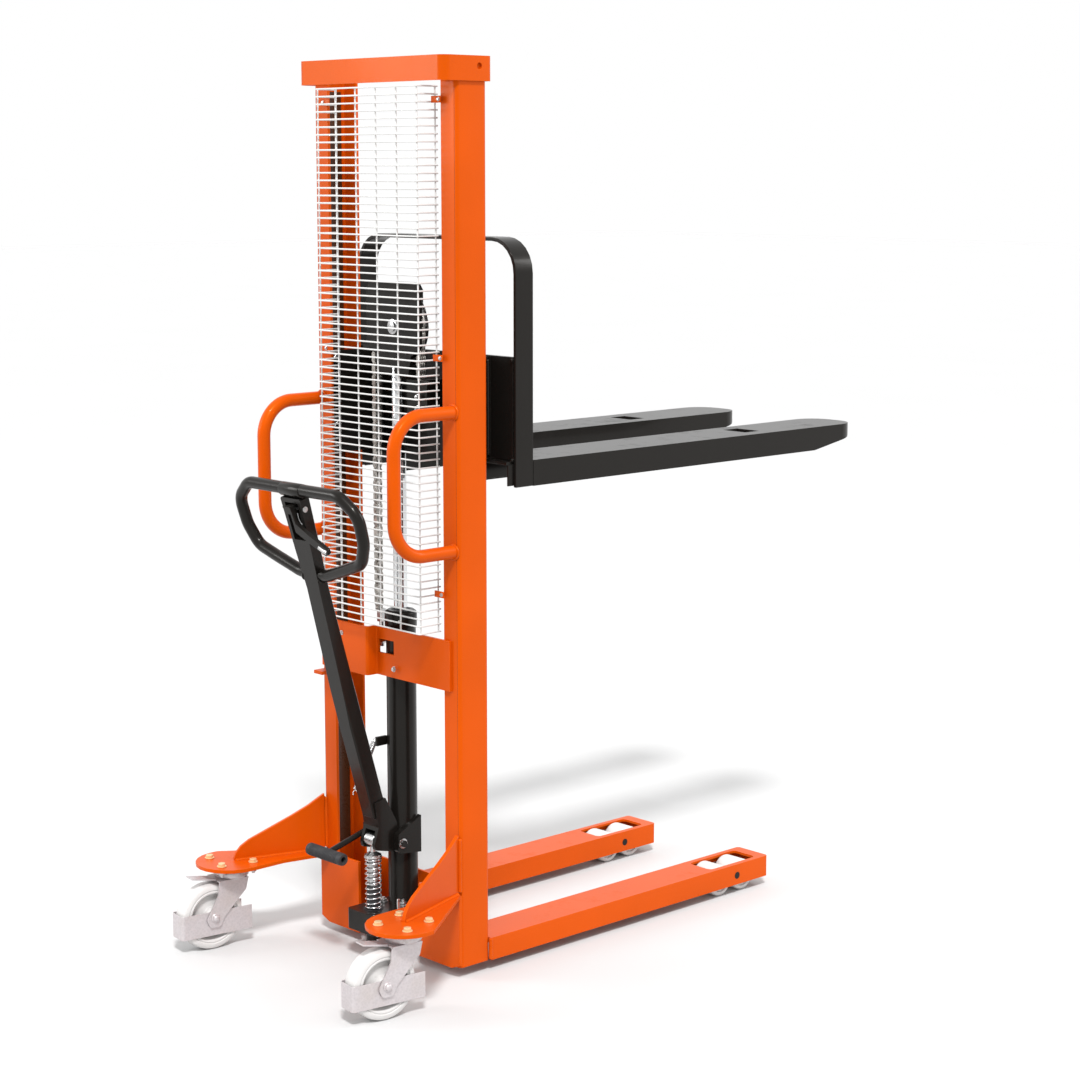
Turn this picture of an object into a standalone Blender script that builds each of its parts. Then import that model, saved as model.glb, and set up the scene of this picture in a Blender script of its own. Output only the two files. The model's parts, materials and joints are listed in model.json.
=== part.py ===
"""Walkie stacker: a manual hydraulic stacker with straddle legs, at rest with its forks raised.

Metres, +Z up, +Y the way the forks point, +X the operator's right. Floor at z = 0."""

import math

import bmesh
import bpy
from mathutils import Matrix, Vector

# Driving dimensions -------------------------------------------------------------------------
GAP = 0.0003
SHIFT_Y = -0.25377  # puts the middle of the whole length at y = 0
POST_IN, POST_OUT = 0.187, 0.236
POST_REAR, POST_FRONT = -0.204, -0.119
POST_BOTTOM, POST_TOP = 0.024, 1.954
LEG_X, LEG_HALF, LEG_TIP, LEG_TOP, LEG_BOTTOM = 0.191, 0.049, 0.787, 0.0745, 0.024
FORK_X, FORK_HALF, FORK_TIP, FORK_TOP, FORK_HEIGHT = 0.190, 0.074, 1.065, 1.117, 0.056
HEEL_TOP = FORK_TOP - 0.0006  # the heel lies a little under the blade's load face
CYL_Y, CYL_R, CYL_TOP, ROD_R = -0.160, 0.033, 0.777, 0.015
SHEAVE_Z, CHAIN_X = 1.395, 0.075
CASTOR_X, CASTOR_Y, CASTOR_TRAIL, CASTOR_YAW = 0.303, -0.418, 0.058, math.radians(-8)
WHEEL_R, WHEEL_W = 0.075, 0.046
WING_ANGLE = math.radians(14)
RIB_ANGLE = math.radians(18)
PIVOT = (0.0, -0.203, 0.262)
LEAN = math.radians(16.2)
NOSE = (-0.0452, 0.0236)  # nose roller's axis, through and along the tiller
BRAKE_PIN = (0.0, -0.049, 0.157)
ROLLER_R, ROLLER_PITCH, BOGIE_Y = 0.037, 0.078, 0.676

ORANGE, BLACK = (0.86, 0.13, 0.012), (0.022, 0.022, 0.026)
ZINC, NYLON = (0.62, 0.58, 0.58), (0.80, 0.80, 0.78)
STEEL, RUBBER = (0.56, 0.57, 0.58), (0.018, 0.018, 0.019)


# Helpers ------------------------------------------------------------------------------------
def clear():
    for obj in list(bpy.data.objects):
        bpy.data.objects.remove(obj, do_unlink=True)


def material(name, look):
    colour, metallic, rough = look
    made = bpy.data.materials.new(name)
    made.use_nodes = True
    shader = made.node_tree.nodes["Principled BSDF"]
    shader.inputs["Base Color"].default_value = (*colour, 1)
    shader.inputs["Metallic"].default_value = metallic
    shader.inputs["Roughness"].default_value = rough
    made.diffuse_color = (*colour, 1)
    return made


PAINT, DARK = (ORANGE, 0.0, 0.35), (BLACK, 0.0, 0.4)
PLATED, WHITE = (ZINC, 0.8, 0.4), (NYLON, 0.0, 0.45)
BRIGHT, GRIP = (STEEL, 1.0, 0.3), (RUBBER, 0.0, 0.7)


def finish(name, bm, look, smooth=False):
    bmesh.ops.remove_doubles(bm, verts=bm.verts[:], dist=1e-6)
    bmesh.ops.recalc_face_normals(bm, faces=bm.faces[:])
    mesh = bpy.data.meshes.new(name)
    bm.to_mesh(mesh)
    bm.free()
    obj = bpy.data.objects.new(name, mesh)
    bpy.context.scene.collection.objects.link(obj)
    if look:
        mesh.materials.append(material(name, look))
    else:
        obj.hide_render = True
        obj.display_type = "WIRE"
    if smooth:
        mesh.shade_smooth()
        mesh.set_sharp_from_angle(angle=math.radians(35))
    return obj


def fillet(points, radius, seg=3, closed=True):
    """The 2-D points with each corner rounded to its radius."""
    count = len(points)
    radii = radius if isinstance(radius, (list, tuple)) else [radius] * count
    out = []
    for i, (p, r) in enumerate(zip(points, radii)):
        if r == 0 or (not closed and i in (0, count - 1)):
            out.append(tuple(p))
            continue
        here, before, after = (Vector(points[j % count]) for j in (i, i - 1, i + 1))
        a, b = (before - here).normalized(), (after - here).normalized()
        half = a.angle(b) / 2
        cut = r / math.tan(half)
        centre = here + (a + b).normalized() * (r / math.sin(half))
        start, end = here + a * cut - centre, here + b * cut - centre
        turn = start.angle_signed(end)
        for k in range(seg + 1):
            out.append(tuple(centre + Matrix.Rotation(-turn * k / seg, 2) @ start))
    return out


def ribbon(points, thick, radius, seg=3):
    """The outline of a bent strip along these 2-D points."""
    line = [Vector(p) for p in fillet(points, radius, seg, closed=False)]
    left, right = [], []
    for i, p in enumerate(line):
        before = (p - line[i - 1]).normalized() if i else (line[1] - p).normalized()
        after = (line[i + 1] - p).normalized() if i + 1 < len(line) else before
        along = (before + after).normalized()
        side = Vector((-along.y, along.x)) * (thick / 2 / max(0.3, along.dot(before)))
        left.append(tuple(p + side))
        right.append(tuple(p - side))
    return left + right[::-1]


def mirror(points):
    return [(-x, y) for x, y in points]


def prism(name, outline, axis, lo, hi, look=None, smooth=False):
    """A closed outline pushed out along an axis, from lo to hi."""
    bm = bmesh.new()
    place = {
        "x": lambda a, b: (lo, a, b),
        "y": lambda a, b: (a, lo, b),
        "z": lambda a, b: (a, b, lo),
    }[axis]
    face = bm.faces.new([bm.verts.new(place(a, b)) for a, b in outline])
    grown = bmesh.ops.extrude_face_region(bm, geom=[face])
    moved = [v for v in grown["geom"] if isinstance(v, bmesh.types.BMVert)]
    step = {"x": (hi - lo, 0, 0), "y": (0, hi - lo, 0), "z": (0, 0, hi - lo)}[axis]
    bmesh.ops.translate(bm, verts=moved, vec=step)
    return finish(name, bm, look, smooth)


def box(name, low, high, look=None):
    outline = [(low[0], low[1]), (high[0], low[1]), (high[0], high[1]), (low[0], high[1])]
    return prism(name, outline, "z", low[2], high[2], look)


def rod(name, start, end, r, look=None, seg=20, r2=None):
    a, b = Vector(start), Vector(end)
    bm = bmesh.new()
    place = Matrix.Translation((a + b) / 2) @ (b - a).to_track_quat("Z", "Y").to_matrix().to_4x4()
    bmesh.ops.create_cone(
        bm, cap_ends=True, segments=seg, radius1=r, radius2=r if r2 is None else r2,
        depth=(b - a).length, matrix=place)
    return finish(name, bm, look, smooth=look is not None)


def lathe(name, profile, centre, axis, look=None, seg=28):
    """A closed (radius, height) profile turned about an axis through centre."""
    bm = bmesh.new()
    verts = [bm.verts.new((r, 0, h)) for r, h in profile]
    edges = [bm.edges.new((verts[i - 1], verts[i])) for i in range(len(verts))]
    bmesh.ops.spin(
        bm, geom=verts + edges, cent=(0, 0, 0), axis=(0, 0, 1), angle=2 * math.pi,
        steps=seg, use_merge=True)
    turn = Vector((0, 0, 1)).rotation_difference(Vector(axis)).to_matrix().to_4x4()
    bmesh.ops.transform(bm, matrix=Matrix.Translation(centre) @ turn, verts=bm.verts[:])
    return finish(name, bm, look, smooth=look is not None)


def tube(name, points, r, look, closed=False, sides=3):
    """A round bar along 3-D points."""
    curve = bpy.data.curves.new(name, "CURVE")
    curve.dimensions = "3D"
    curve.bevel_depth = r
    curve.bevel_resolution = sides
    curve.use_fill_caps = True
    spline = curve.splines.new("POLY")
    spline.points.add(len(points) - 1)
    for point, co in zip(spline.points, points):
        point.co = (*co, 1)
    spline.use_cyclic_u = closed
    obj = bpy.data.objects.new(name, curve)
    bpy.context.scene.collection.objects.link(obj)
    curve.materials.append(material(name, look))
    return obj


def boolean(obj, others, operation):
    for other in others if isinstance(others, (list, tuple)) else [others]:
        step = obj.modifiers.new(operation.title(), "BOOLEAN")
        step.object = other
        step.operation = operation
        step.solver = "EXACT"
    return obj


def join(obj, *others):
    return boolean(obj, others, "UNION")


def cut(obj, *others):
    return boolean(obj, others, "DIFFERENCE")


def bevelled(obj, width, seg=2, angle=40):
    step = obj.modifiers.new("Bevel", "BEVEL")
    step.width = width
    step.segments = seg
    step.limit_method = "ANGLE"
    step.angle_limit = math.radians(angle)
    return obj


SIDES = (("left", -1), ("right", 1))


# Mast and base ------------------------------------------------------------------------------
def posts():
    outline = fillet(
        [(POST_IN, POST_REAR), (POST_OUT, POST_REAR), (POST_OUT, POST_FRONT),
         (POST_IN, POST_FRONT), (POST_IN, POST_FRONT - 0.007), (POST_OUT - 0.0055, POST_FRONT - 0.007),
         (POST_OUT - 0.0055, POST_REAR + 0.007), (POST_IN, POST_REAR + 0.007)],
        [0.002, 0.010, 0.010, 0.002, 0.002, 0.004, 0.004, 0.002])
    for side, sign in SIDES:
        shape = outline if sign > 0 else mirror(outline)
        obj = prism(f"mast_post_{side}", shape, "z", POST_BOTTOM, POST_TOP, PAINT, smooth=True)
        if sign < 0:
            lug = box("lug", (-0.226, -0.236, 0.607), (-0.196, POST_REAR + 0.003, 0.615))
            join(obj, lug)


def cross_head():
    x, rear, front = 0.2388, -0.2405, -0.1115
    path = [(0.222, front), (x, front), (x, rear), (-x, rear), (-x, front), (-0.222, front)]
    head = prism("top_cross_head", ribbon(path, 0.005, [0, 0.008, 0.018, 0.018, 0.008, 0], 4),
                 "z", 1.907, 1.958, PAINT, smooth=True)
    cut(head, rod("lifting_holes", (-0.3, -0.144, 1.937), (0.3, -0.144, 1.937), 0.007))


def mid_member():
    path = [(0.213, -0.2073), (-0.034, -0.2073), (-0.034, -0.235), (-0.194, -0.235),
            (-0.194, -0.2073), (-0.213, -0.2073)]
    member = prism("mid_cross_member", ribbon(path, 0.006, [0, 0.006, 0.006, 0.006, 0.006, 0], 3),
                   "z", 0.633, 0.742, PAINT, smooth=True)
    join(member, box("shelf", (-0.112, -0.2345, 0.700), (-0.041, -0.135, 0.712)))
    cut(member, box("window", (-0.026, -0.23, 0.683), (0.027, -0.19, 0.714)))


def legs():
    for side, sign in SIDES:
        mid = sign * LEG_X
        w = LEG_HALF
        plan = fillet([(mid - w, POST_FRONT + GAP), (mid + w, POST_FRONT + GAP),
                       (mid + w, LEG_TIP), (mid - w, LEG_TIP)], [0, 0, 0.008, 0.008])
        leg = prism(f"straddle_leg_{side}", plan, "z", LEG_BOTTOM, LEG_TOP, PAINT, smooth=True)
        hollow = box(f"leg_hollow_{side}", (mid - w + 0.006, POST_FRONT - 0.01, 0.0),
                     (mid + w - 0.006, LEG_TIP - 0.008, LEG_TOP - 0.006))
        slot = prism(f"leg_slot_{side}", fillet(
            [(mid - 0.035, BOGIE_Y - 0.080), (mid + 0.035, BOGIE_Y - 0.080),
             (mid + 0.035, BOGIE_Y + 0.080), (mid - 0.035, BOGIE_Y + 0.080)], 0.01),
            "z", 0.05, 0.1)
        cut(leg, hollow, slot)
        for k in (-1, 1):
            join(leg, rod(f"bogie_pin_{side}_{k}", (mid + k * 0.0340, BOGIE_Y, 0.047),
                          (mid + k * 0.0494, BOGIE_Y, 0.047), 0.0078, seg=16))


def base_plates():
    plate = prism("base_cross_plate", [
        (-0.1417, 0.030), (0.1417, 0.030), (0.1417, 0.0755), (0.160, 0.0755), (0.160, 0.174),
        (-0.160, 0.174), (-0.160, 0.0755), (-0.1417, 0.0755)], "y", -0.1185, -0.1115, PAINT)
    floor = box("floor_flange", (-0.1380, -0.2040, 0.060), (0.1380, -0.114, 0.068))
    join(plate, floor)


def wings():
    direction = Vector((math.sin(RIB_ANGLE), -math.cos(RIB_ANGLE)))
    rib_side = [(0.0, 0.322), (0.012, 0.315), (0.040, 0.298), (0.080, 0.279), (0.120, 0.262),
                (0.150, 0.249), (0.180, 0.236), (0.200, 0.223), (0.213, 0.208), (0.2165, 0.196),
                (0.2165, 0.1845), (0.0, 0.1845)]
    for side, sign in SIDES:
        # Pad: straight edges from the post, closed by a round end about the swivel axis.
        arc = []
        for k in range(13):
            angle = math.radians(180 + 12 * (k / 12) + 180 * (k / 12))
            arc.append((CASTOR_X + 0.080 * math.cos(angle), CASTOR_Y + 0.080 * math.sin(angle)))
        pad = [(0.2413, POST_REAR - 0.0043), (0.196, POST_REAR - 0.0043), (0.223, -0.330)] + arc
        wing = prism(f"castor_wing_{side}", pad if sign > 0 else mirror(pad), "z",
                     0.184, 0.192, PAINT, smooth=True)
        # Rib standing on the wing, which stops short of the castor's bolts.
        bm = bmesh.new()
        start, across = Vector((0.2315, POST_REAR - 0.0047)), Vector((direction.y, -direction.x))
        faces = []
        for offset in (-0.004, 0.004):
            ring = []
            for along, z in rib_side:
                p = start + direction * along + across * offset
                ring.append(bm.verts.new((sign * p.x, min(p.y, POST_REAR - GAP), z)))
            faces.append(bm.faces.new(ring))
        bmesh.ops.bridge_loops(bm, edges=[e for f in faces for e in f.edges])
        rib = finish(f"wing_rib_{side}", bm, None)
        # Rear plate of the base, under the wing.
        rear = [(0.105, 0.022), (0.214, 0.022), (0.2413, 0.033), (0.2413, 0.188), (0.105, 0.188)]
        back = prism(f"wing_back_{side}", rear if sign > 0 else mirror(rear), "y",
                     POST_REAR - 0.0073, POST_REAR - GAP)
        join(wing, rib, back)
        for k in range(4):
            turn = Matrix.Rotation(WING_ANGLE + math.pi / 4 + k * math.pi / 2, 2)
            hole = turn @ Vector((0.053, 0)) + Vector((CASTOR_X, CASTOR_Y))
            cut(wing, rod(f"wing_hole_{side}_{k}", (sign * hole.x, hole.y, 0.17),
                          (sign * hole.x, hole.y, 0.20), 0.0055, seg=12))


def handles():
    for side, sign in SIDES:
        rear, low, high = -0.366, 0.934, 1.229
        path = fillet([(POST_REAR - GAP, high), (rear, high), (rear, low), (POST_REAR - GAP, low)],
                      [0, 0.075, 0.075, 0], 7, closed=False)
        tube(f"grab_handle_{side}", [(sign * 0.2215, y, z) for y, z in path], 0.0142, PAINT)


def mesh_guard():
    """A folded grid: eight uprights and ten cross wires stand for the closer real ones."""
    half, rear, front, wire = 0.1675, -0.2535, -0.2052, 0.004
    low, high, rows = 0.776, 1.899, 10
    side = front - rear
    total = 2 * side + 2 * half

    def place(s):
        if s < side:
            return (-half, front - s)
        if s > total - side:
            return (half, rear + s - (total - side))
        return (-half + s - side, rear)

    uprights = [0, side - wire / 2] + [side + 0.067 * k - wire / 2 for k in range(1, 5)]
    uprights += [total - side - wire / 2, total - wire]
    cols = sorted([s for u in uprights for s in (u, u + wire)] + [side, total - side])
    step = (high - low - wire) / (rows - 1)
    levels = [low + step * k + d for k in range(rows) for d in (0, wire)]
    bm = bmesh.new()
    grid = [[bm.verts.new((*place(s), z)) for z in levels] for s in cols]
    for i in range(len(cols) - 1):
        mid = (cols[i] + cols[i + 1]) / 2
        upright = any(u < mid < u + wire for u in uprights)
        for j in range(len(levels) - 1):
            if upright or j % 2 == 0:
                bm.faces.new((grid[i][j], grid[i + 1][j], grid[i + 1][j + 1], grid[i][j + 1]))
    guard = finish("mesh_guard", bm, ((0.85, 0.85, 0.84), 0.2, 0.4))
    thick = guard.modifiers.new("Solidify", "SOLIDIFY")
    thick.thickness = 0.0036
    thick.offset = 0
    for k, z in enumerate((0.83, 1.33, 1.86)):
        for side_name, sign in SIDES:
            xs = sorted((sign * 0.1665, sign * 0.202))
            join(guard, box(f"guard_tab_{side_name}_{k}", (xs[0], -0.2072, z), (xs[1], -0.2044, z + 0.02)))


# Lift cylinder, pump and tiller -------------------------------------------------------------
def hydraulics():
    cyl = lathe("lift_cylinder", [
        (0.0, 0.0690), (CYL_R, 0.0690), (CYL_R, 0.735), (CYL_R + 0.0025, 0.737),
        (CYL_R + 0.0025, 0.772), (CYL_R - 0.0025, CYL_TOP), (ROD_R + GAP, CYL_TOP),
        (ROD_R + GAP, 0.078), (0.0, 0.078)], (0, CYL_Y, 0), (0, 0, 1), DARK, 24)
    join(cyl, box("spring_ear", (-0.034, -0.210, 0.470), (-0.026, -0.175, 0.492)))
    body = prism("pump_body", fillet(
        [(-0.046, -0.292), (0.046, -0.292), (0.046, -0.125), (-0.046, -0.125)], 0.008),
        "z", 0.0683, 0.1145, DARK)
    join(body, rod("pump_barrel", (0, -0.253, 0.0350), (0, -0.253, 0.0700), 0.0175, seg=24))
    cut(body, rod("pump_body_bore", (0, CYL_Y, 0.0), (0, CYL_Y, 0.2), CYL_R + GAP, seg=32),
        rod("pump_well", (0, -0.253, 0.0410), (0, -0.253, 0.2), 0.0123))
    # Ears that carry the tiller's pin, on a saddle round the back of the cylinder.
    ears = prism("pivot_bracket", fillet(
        [(-0.215, 0.240), (-0.140, 0.232), (-0.140, 0.322), (-0.215, 0.284)],
        [0.010, 0.004, 0.004, 0.010]), "x", -0.043, 0.043, DARK)
    cut(ears, rod("saddle_bore", (0, CYL_Y, 0.1), (0, CYL_Y, 0.5), CYL_R + GAP, seg=32),
        box("yoke_gap", (-0.0270, -0.30, 0.1), (0.0270, -0.1885, 0.5)),
        box("yoke_front", (-0.06, -0.150, 0.1), (0.06, -0.1, 0.5)))
    join(ears, rod("tiller_pivot_pin", (-0.050, *PIVOT[1:]), (0.050, *PIVOT[1:]), 0.0077))
    # Release valve beside the pump, worked by a short lever.
    join(body, rod("release_valve", (0.0400, -0.238, 0.094), (0.066, -0.238, 0.094), 0.009, seg=6))
    rod("release_lever", (0.0665, -0.238, 0.094), (0.0705, -0.238, 0.094), 0.008, BRIGHT, 12)
    lever = bpy.data.objects["release_lever"]
    join(lever, box("release_arm", (0.0667, -0.242, 0.096), (0.0703, -0.234, 0.150)))
    # Pump plunger with its spring.
    rod("pump_plunger", (0, -0.253, 0.082), (0, -0.253, 0.236), 0.0110, BRIGHT, 20)
    cap = lathe("plunger_cap", [(0.0, 0.232), (0.0195, 0.232), (0.0195, 0.239), (0.016, 0.243),
                                (0.0060, 0.247), (0.0060, 0.2577), (0.0, 0.2577)],
                (0, -0.253, 0), (0, 0, 1))
    join(bpy.data.objects["pump_plunger"], cap)
    lathe("pump_spring", [(0.0125, 0.1148), (0.0187, 0.1148), (0.0187, 0.2316), (0.0125, 0.2316)],
          (0, -0.253, 0), (0, 0, 1), BRIGHT, 18)


def local(points):
    """Tiller coordinates (across, through, along) to world."""
    turn = Matrix.Rotation(LEAN, 4, "X")
    return [tuple(Matrix.Translation(PIVOT) @ turn @ Vector(p)) for p in points]


def lean(obj):
    obj.data.transform(Matrix.Rotation(LEAN, 4, "X"))
    obj.location = PIVOT
    return obj


def tiller():
    # Base: two cheeks on the pin, a nose over the plunger and a socket for the arm.
    cheek = fillet([(-0.062, 0.010), (-0.018, -0.015), (0.010, -0.010), (0.010, 0.050),
                    (-0.003, 0.112), (-0.034, 0.112), (-0.040, 0.055), (-0.062, 0.022)],
                   [0.006, 0.008, 0.008, 0.01, 0.002, 0.002, 0.01, 0.008])
    base = prism("tiller_base", cheek, "x", -0.0255, 0.0255, DARK)
    lean(base)
    for cutter in (
            box("base_slot", (-0.0165, -0.075, -0.05), (0.0165, 0.03, 0.048)),
            box("arm_socket", (-0.0223, -0.0800, 0.075), (0.0223, -0.0041, 0.13)),
            rod("base_hole", (-0.05, 0, 0), (0.05, 0, 0), 0.0080)):
        cut(base, lean(cutter))
    roller_at = NOSE
    lean(lathe("nose_roller", [(0.0053, -0.0150), (0.0140, -0.0150), (0.0140, 0.0150), (0.0053, 0.0150)],
               (0, *roller_at), (1, 0, 0), BRIGHT, 20))
    join(base, lean(rod("nose_roller_pin", (-0.0254, *roller_at), (0.0254, *roller_at), 0.0050, seg=12)))
    # Arm: a boxed section, deeper towards its foot and a little wider inside the loop.
    arm = prism("tiller_arm", [
        (-0.022, 0.0755), (0.022, 0.0755), (0.022, 0.620), (0.028, 0.700), (0.034, 0.830),
        (-0.034, 0.830), (-0.028, 0.700), (-0.022, 0.620)], "y", -0.0419, -0.0044, DARK)
    taper = prism("arm_taper", [(-0.0309, 0.90), (-0.0309, 0.625), (-0.0421, 0.300), (-0.060, 0.300),
                                (-0.060, 0.90)], "x", -0.05, 0.05)
    cut(lean(bevelled(arm, 0.003, 1)), lean(taper),
        lean(prism("lever_recess", [(-0.020, 0.735), (0.020, 0.735), (0.022, 0.820), (-0.022, 0.820)],
                   "y", -0.04, -0.013)))
    # Loop handle: one closed round bar, pierced by the arm.
    half = [(0.0, 0.846), (0.155, 0.846), (0.204, 0.806), (0.200, 0.745), (0.176, 0.698),
            (0.120, 0.678), (0.045, 0.653), (0.0, 0.648)]
    ring = half[:-1] + [(-x, z) for x, z in reversed(half[1:])]
    ring = fillet(ring, [0, 0.045, 0.045, 0.05, 0.04, 0.05, 0.05, 0.05, 0.05, 0.04, 0.05, 0.045, 0.045],
                  3)
    loop = tube("tiller_loop", local([(x, -0.0177, z) for x, z in ring]), 0.0130, DARK, closed=True,
                sides=2)
    loop_mesh = bpy.data.meshes.new_from_object(loop.evaluated_get(
        bpy.context.evaluated_depsgraph_get()))
    look = loop.data.materials[0]
    bpy.data.objects.remove(loop, do_unlink=True)
    loop = bpy.data.objects.new("tiller_loop", loop_mesh)
    loop_mesh.materials.clear()
    loop_mesh.materials.append(look)
    bpy.context.scene.collection.objects.link(loop)
    cut(loop, lean(prism("loop_seat", [
        (-0.0193, 0.0755), (0.0193, 0.0755), (0.0193, 0.560), (0.0223, 0.620), (0.0283, 0.700),
        (0.0343, 0.8303), (-0.0343, 0.8303), (-0.0283, 0.700), (-0.0223, 0.620), (-0.0193, 0.560)],
        "y", -0.0312, -0.0041)))
    # Control lever inside the loop, on a cross pin.
    lever = prism("control_lever", fillet(
        [(-0.009, 0.800), (0.009, 0.800), (0.011, 0.760), (0.045, 0.742), (0.098, 0.716),
         (0.106, 0.722), (0.104, 0.732), (0.050, 0.760), (0.017, 0.780), (0.012, 0.816), (-0.012, 0.816)],
        [0.003, 0, 0.004, 0.004, 0.003, 0.003, 0.003, 0.006, 0.006, 0.004, 0.004]),
        "y", -0.0450, -0.0360, DARK)
    hub = box("lever_hub", (-0.009, -0.0365, 0.796), (0.009, -0.0170, 0.816))
    join(lean(lever), lean(hub))
    cut(lever, lean(rod("lever_hole", (-0.05, -0.0240, 0.806), (0.05, -0.0240, 0.806), 0.0033, seg=12)))
    join(arm, lean(rod("control_lever_pin", (-0.0385, -0.0240, 0.806), (0.0385, -0.0240, 0.806), 0.0030,
                       seg=12)))
    # Foot pedal: a bent bar from the base to a rubber grip.
    pedal = rod("foot_pedal", (-0.0420, -0.347, 0.2509), (-0.0345, -0.232, 0.2880), 0.0065, DARK, 12)
    join(pedal, rod("pedal_peg", (-0.095, -0.351, 0.2496), (0.008, -0.351, 0.2496), 0.0062, seg=12),
         box("pedal_foot", (-0.0385, -0.249, 0.268), (-0.0258, -0.222, 0.303)))
    grip = lathe("pedal_grip", [
        (0.0066, -0.1000), (0.0125, -0.1000), (0.0140, -0.0960), (0.0140, 0.0160), (0.0125, 0.0200),
        (0.0066, 0.0200)], (0, -0.351, 0.2496), (1, 0, 0), GRIP, 20)
    cut(grip, rod("grip_notch", (-0.0422, -0.348, 0.2506), (-0.0396, -0.309, 0.2631), 0.0070, seg=12))
    # Close-wound tension spring that brings the tiller back up.
    rod("return_spring", (-0.0430, -0.2040, 0.478), (-0.0445, -0.2560, 0.376), 0.0070, BRIGHT, 12)


# Piston, chain and carriage -----------------------------------------------------------------
def piston():
    rod("piston_rod", (0, CYL_Y, 0.593), (0, CYL_Y, 1.3105), ROD_R, (STEEL, 1.0, 0.15), 24)
    plate = fillet([(-0.050, 1.292), (0.050, 1.292), (0.060, 1.335), (0.078, 1.342), (0.089, 1.356),
                    (0.089, 1.474), (0.076, 1.489), (-0.076, 1.489), (-0.089, 1.474),
                    (-0.089, 1.356), (-0.078, 1.342), (-0.060, 1.335)], 0.004, 2)
    head = prism("lift_head", plate, "y", CYL_Y - 0.022, CYL_Y - 0.014, DARK)
    strap = fillet([(-0.050, 1.292), (0.050, 1.292), (0.050, 1.474), (0.038, 1.489), (-0.038, 1.489),
                    (-0.050, 1.474)], 0.004, 2)
    front = prism("head_front", strap, "y", CYL_Y + 0.014, CYL_Y + 0.022)
    foot = box("head_foot", (-0.045, CYL_Y - 0.020, 1.2925), (0.045, CYL_Y + 0.020, 1.3135))
    keeper = rod("head_keeper", (0, CYL_Y - 0.020, 1.4835), (0, CYL_Y + 0.020, 1.4835), 0.004, seg=10)
    join(head, front, foot, keeper)
    cut(head, rod("head_bore", (0, CYL_Y, 1.28), (0, CYL_Y, 1.3108), ROD_R + GAP, seg=24))
    join(head, rod("sheave_axle", (0, CYL_Y - 0.027, SHEAVE_Z), (0, CYL_Y + 0.027, SHEAVE_Z), 0.0100))
    lathe("chain_sheave", [(0.0103, -0.0125), (0.080, -0.0125), (0.080, -0.0100), (0.0675, -0.0095),
                           (0.0675, 0.0095), (0.080, 0.0100), (0.080, 0.0125), (0.0103, 0.0125)],
          (0, CYL_Y, SHEAVE_Z), (0, 1, 0), BRIGHT, 24)


def strand(name, x, low, high):
    half_pitch, z, left = 0.016, low, []
    while z < high - half_pitch:
        left.append((0.0068 if len(left) % 2 == 0 else 0.0050, z))
        z += half_pitch
    left.append((0.0060, high))
    outline = [(x + w, h) for w, h in left] + [(x - w, h) for w, h in reversed(left)]
    return prism(name, outline, "y", CYL_Y - 0.0088, CYL_Y + 0.0088, (STEEL, 0.9, 0.5))


def chain():
    strand("chain_fixed_strand", -CHAIN_X, 0.768, SHEAVE_Z)
    strand("chain_carriage_strand", CHAIN_X, 1.2805, SHEAVE_Z)
    for name, x, shelf in (("chain_anchor_fixed", -CHAIN_X, 0.706), ("chain_anchor_carriage", CHAIN_X, 1.2260)):
        bolt = rod(name, (x, CYL_Y, shelf - 0.024), (x, CYL_Y, shelf + 0.036), 0.0055, BRIGHT, 12)
        join(bolt, box(name + "_clevis", (x - 0.0065, CYL_Y - 0.0085, shelf + 0.032),
                       (x + 0.0065, CYL_Y + 0.0085, shelf + (0.0610 if x < 0 else 0.0540))))
        for z in (shelf - 0.0163, shelf + 0.0063):
            join(bolt, rod(f"{name}_nut", (x, CYL_Y, z), (x, CYL_Y, z + 0.010), 0.0098, seg=6))
    shelf_hole = rod("shelf_hole", (-CHAIN_X, CYL_Y, 0.69), (-CHAIN_X, CYL_Y, 0.72), 0.0058, seg=12)
    cut(bpy.data.objects["mid_cross_member"], shelf_hole)


def carriage():
    plate = prism("carriage_frame", fillet(
        [(-0.2545, HEEL_TOP + GAP), (0.2545, HEEL_TOP + GAP), (0.2545, 1.338), (-0.2545, 1.338)], 0),
        "y", -0.066, -0.056, DARK)
    for side, sign in SIDES:
        xs = sorted((sign * 0.172, sign * 0.184))
        cheek = prism(f"carriage_cheek_{side}", [
            (-0.190, 1.110), (-0.092, 1.110), (-0.086, 1.1178), (-0.060, 1.1178), (-0.060, 1.335),
            (-0.190, 1.335)], "x", xs[0], xs[1])
        join(plate, cheek)
        for z in (1.148, 1.298):
            join(plate, rod(f"roller_pin_{side}_{z}", (sign * 0.178, -0.1615, z),
                            (sign * 0.2275, -0.1615, z), 0.0120, seg=16))
    join(plate, box("anchor_arm", (0.092, -0.188, 1.212), (0.100, -0.060, 1.286)),
         box("anchor_lip", (0.060, -0.194, 1.212), (0.126, -0.1845, 1.286)),
         box("anchor_shelf", (0.056, -0.190, 1.2205), (0.095, -0.138, 1.2315)))
    cut(plate, rod("anchor_hole", (CHAIN_X, CYL_Y, 1.2), (CHAIN_X, CYL_Y, 1.3), 0.0058, seg=12))
    for side, sign in SIDES:
        for level, z in (("lower", 1.148), ("upper", 1.298)):
            low, high = (0.1945, 0.2250) if sign > 0 else (-0.2250, -0.1945)
            lathe(f"mast_roller_{side}_{level}", [
                (0.0123, low), (0.0335, low), (0.0347, low + 0.002), (0.0347, high - 0.002),
                (0.0335, high), (0.0123, high)], (0, -0.1615, z), (1, 0, 0), BRIGHT, 16)


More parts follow.
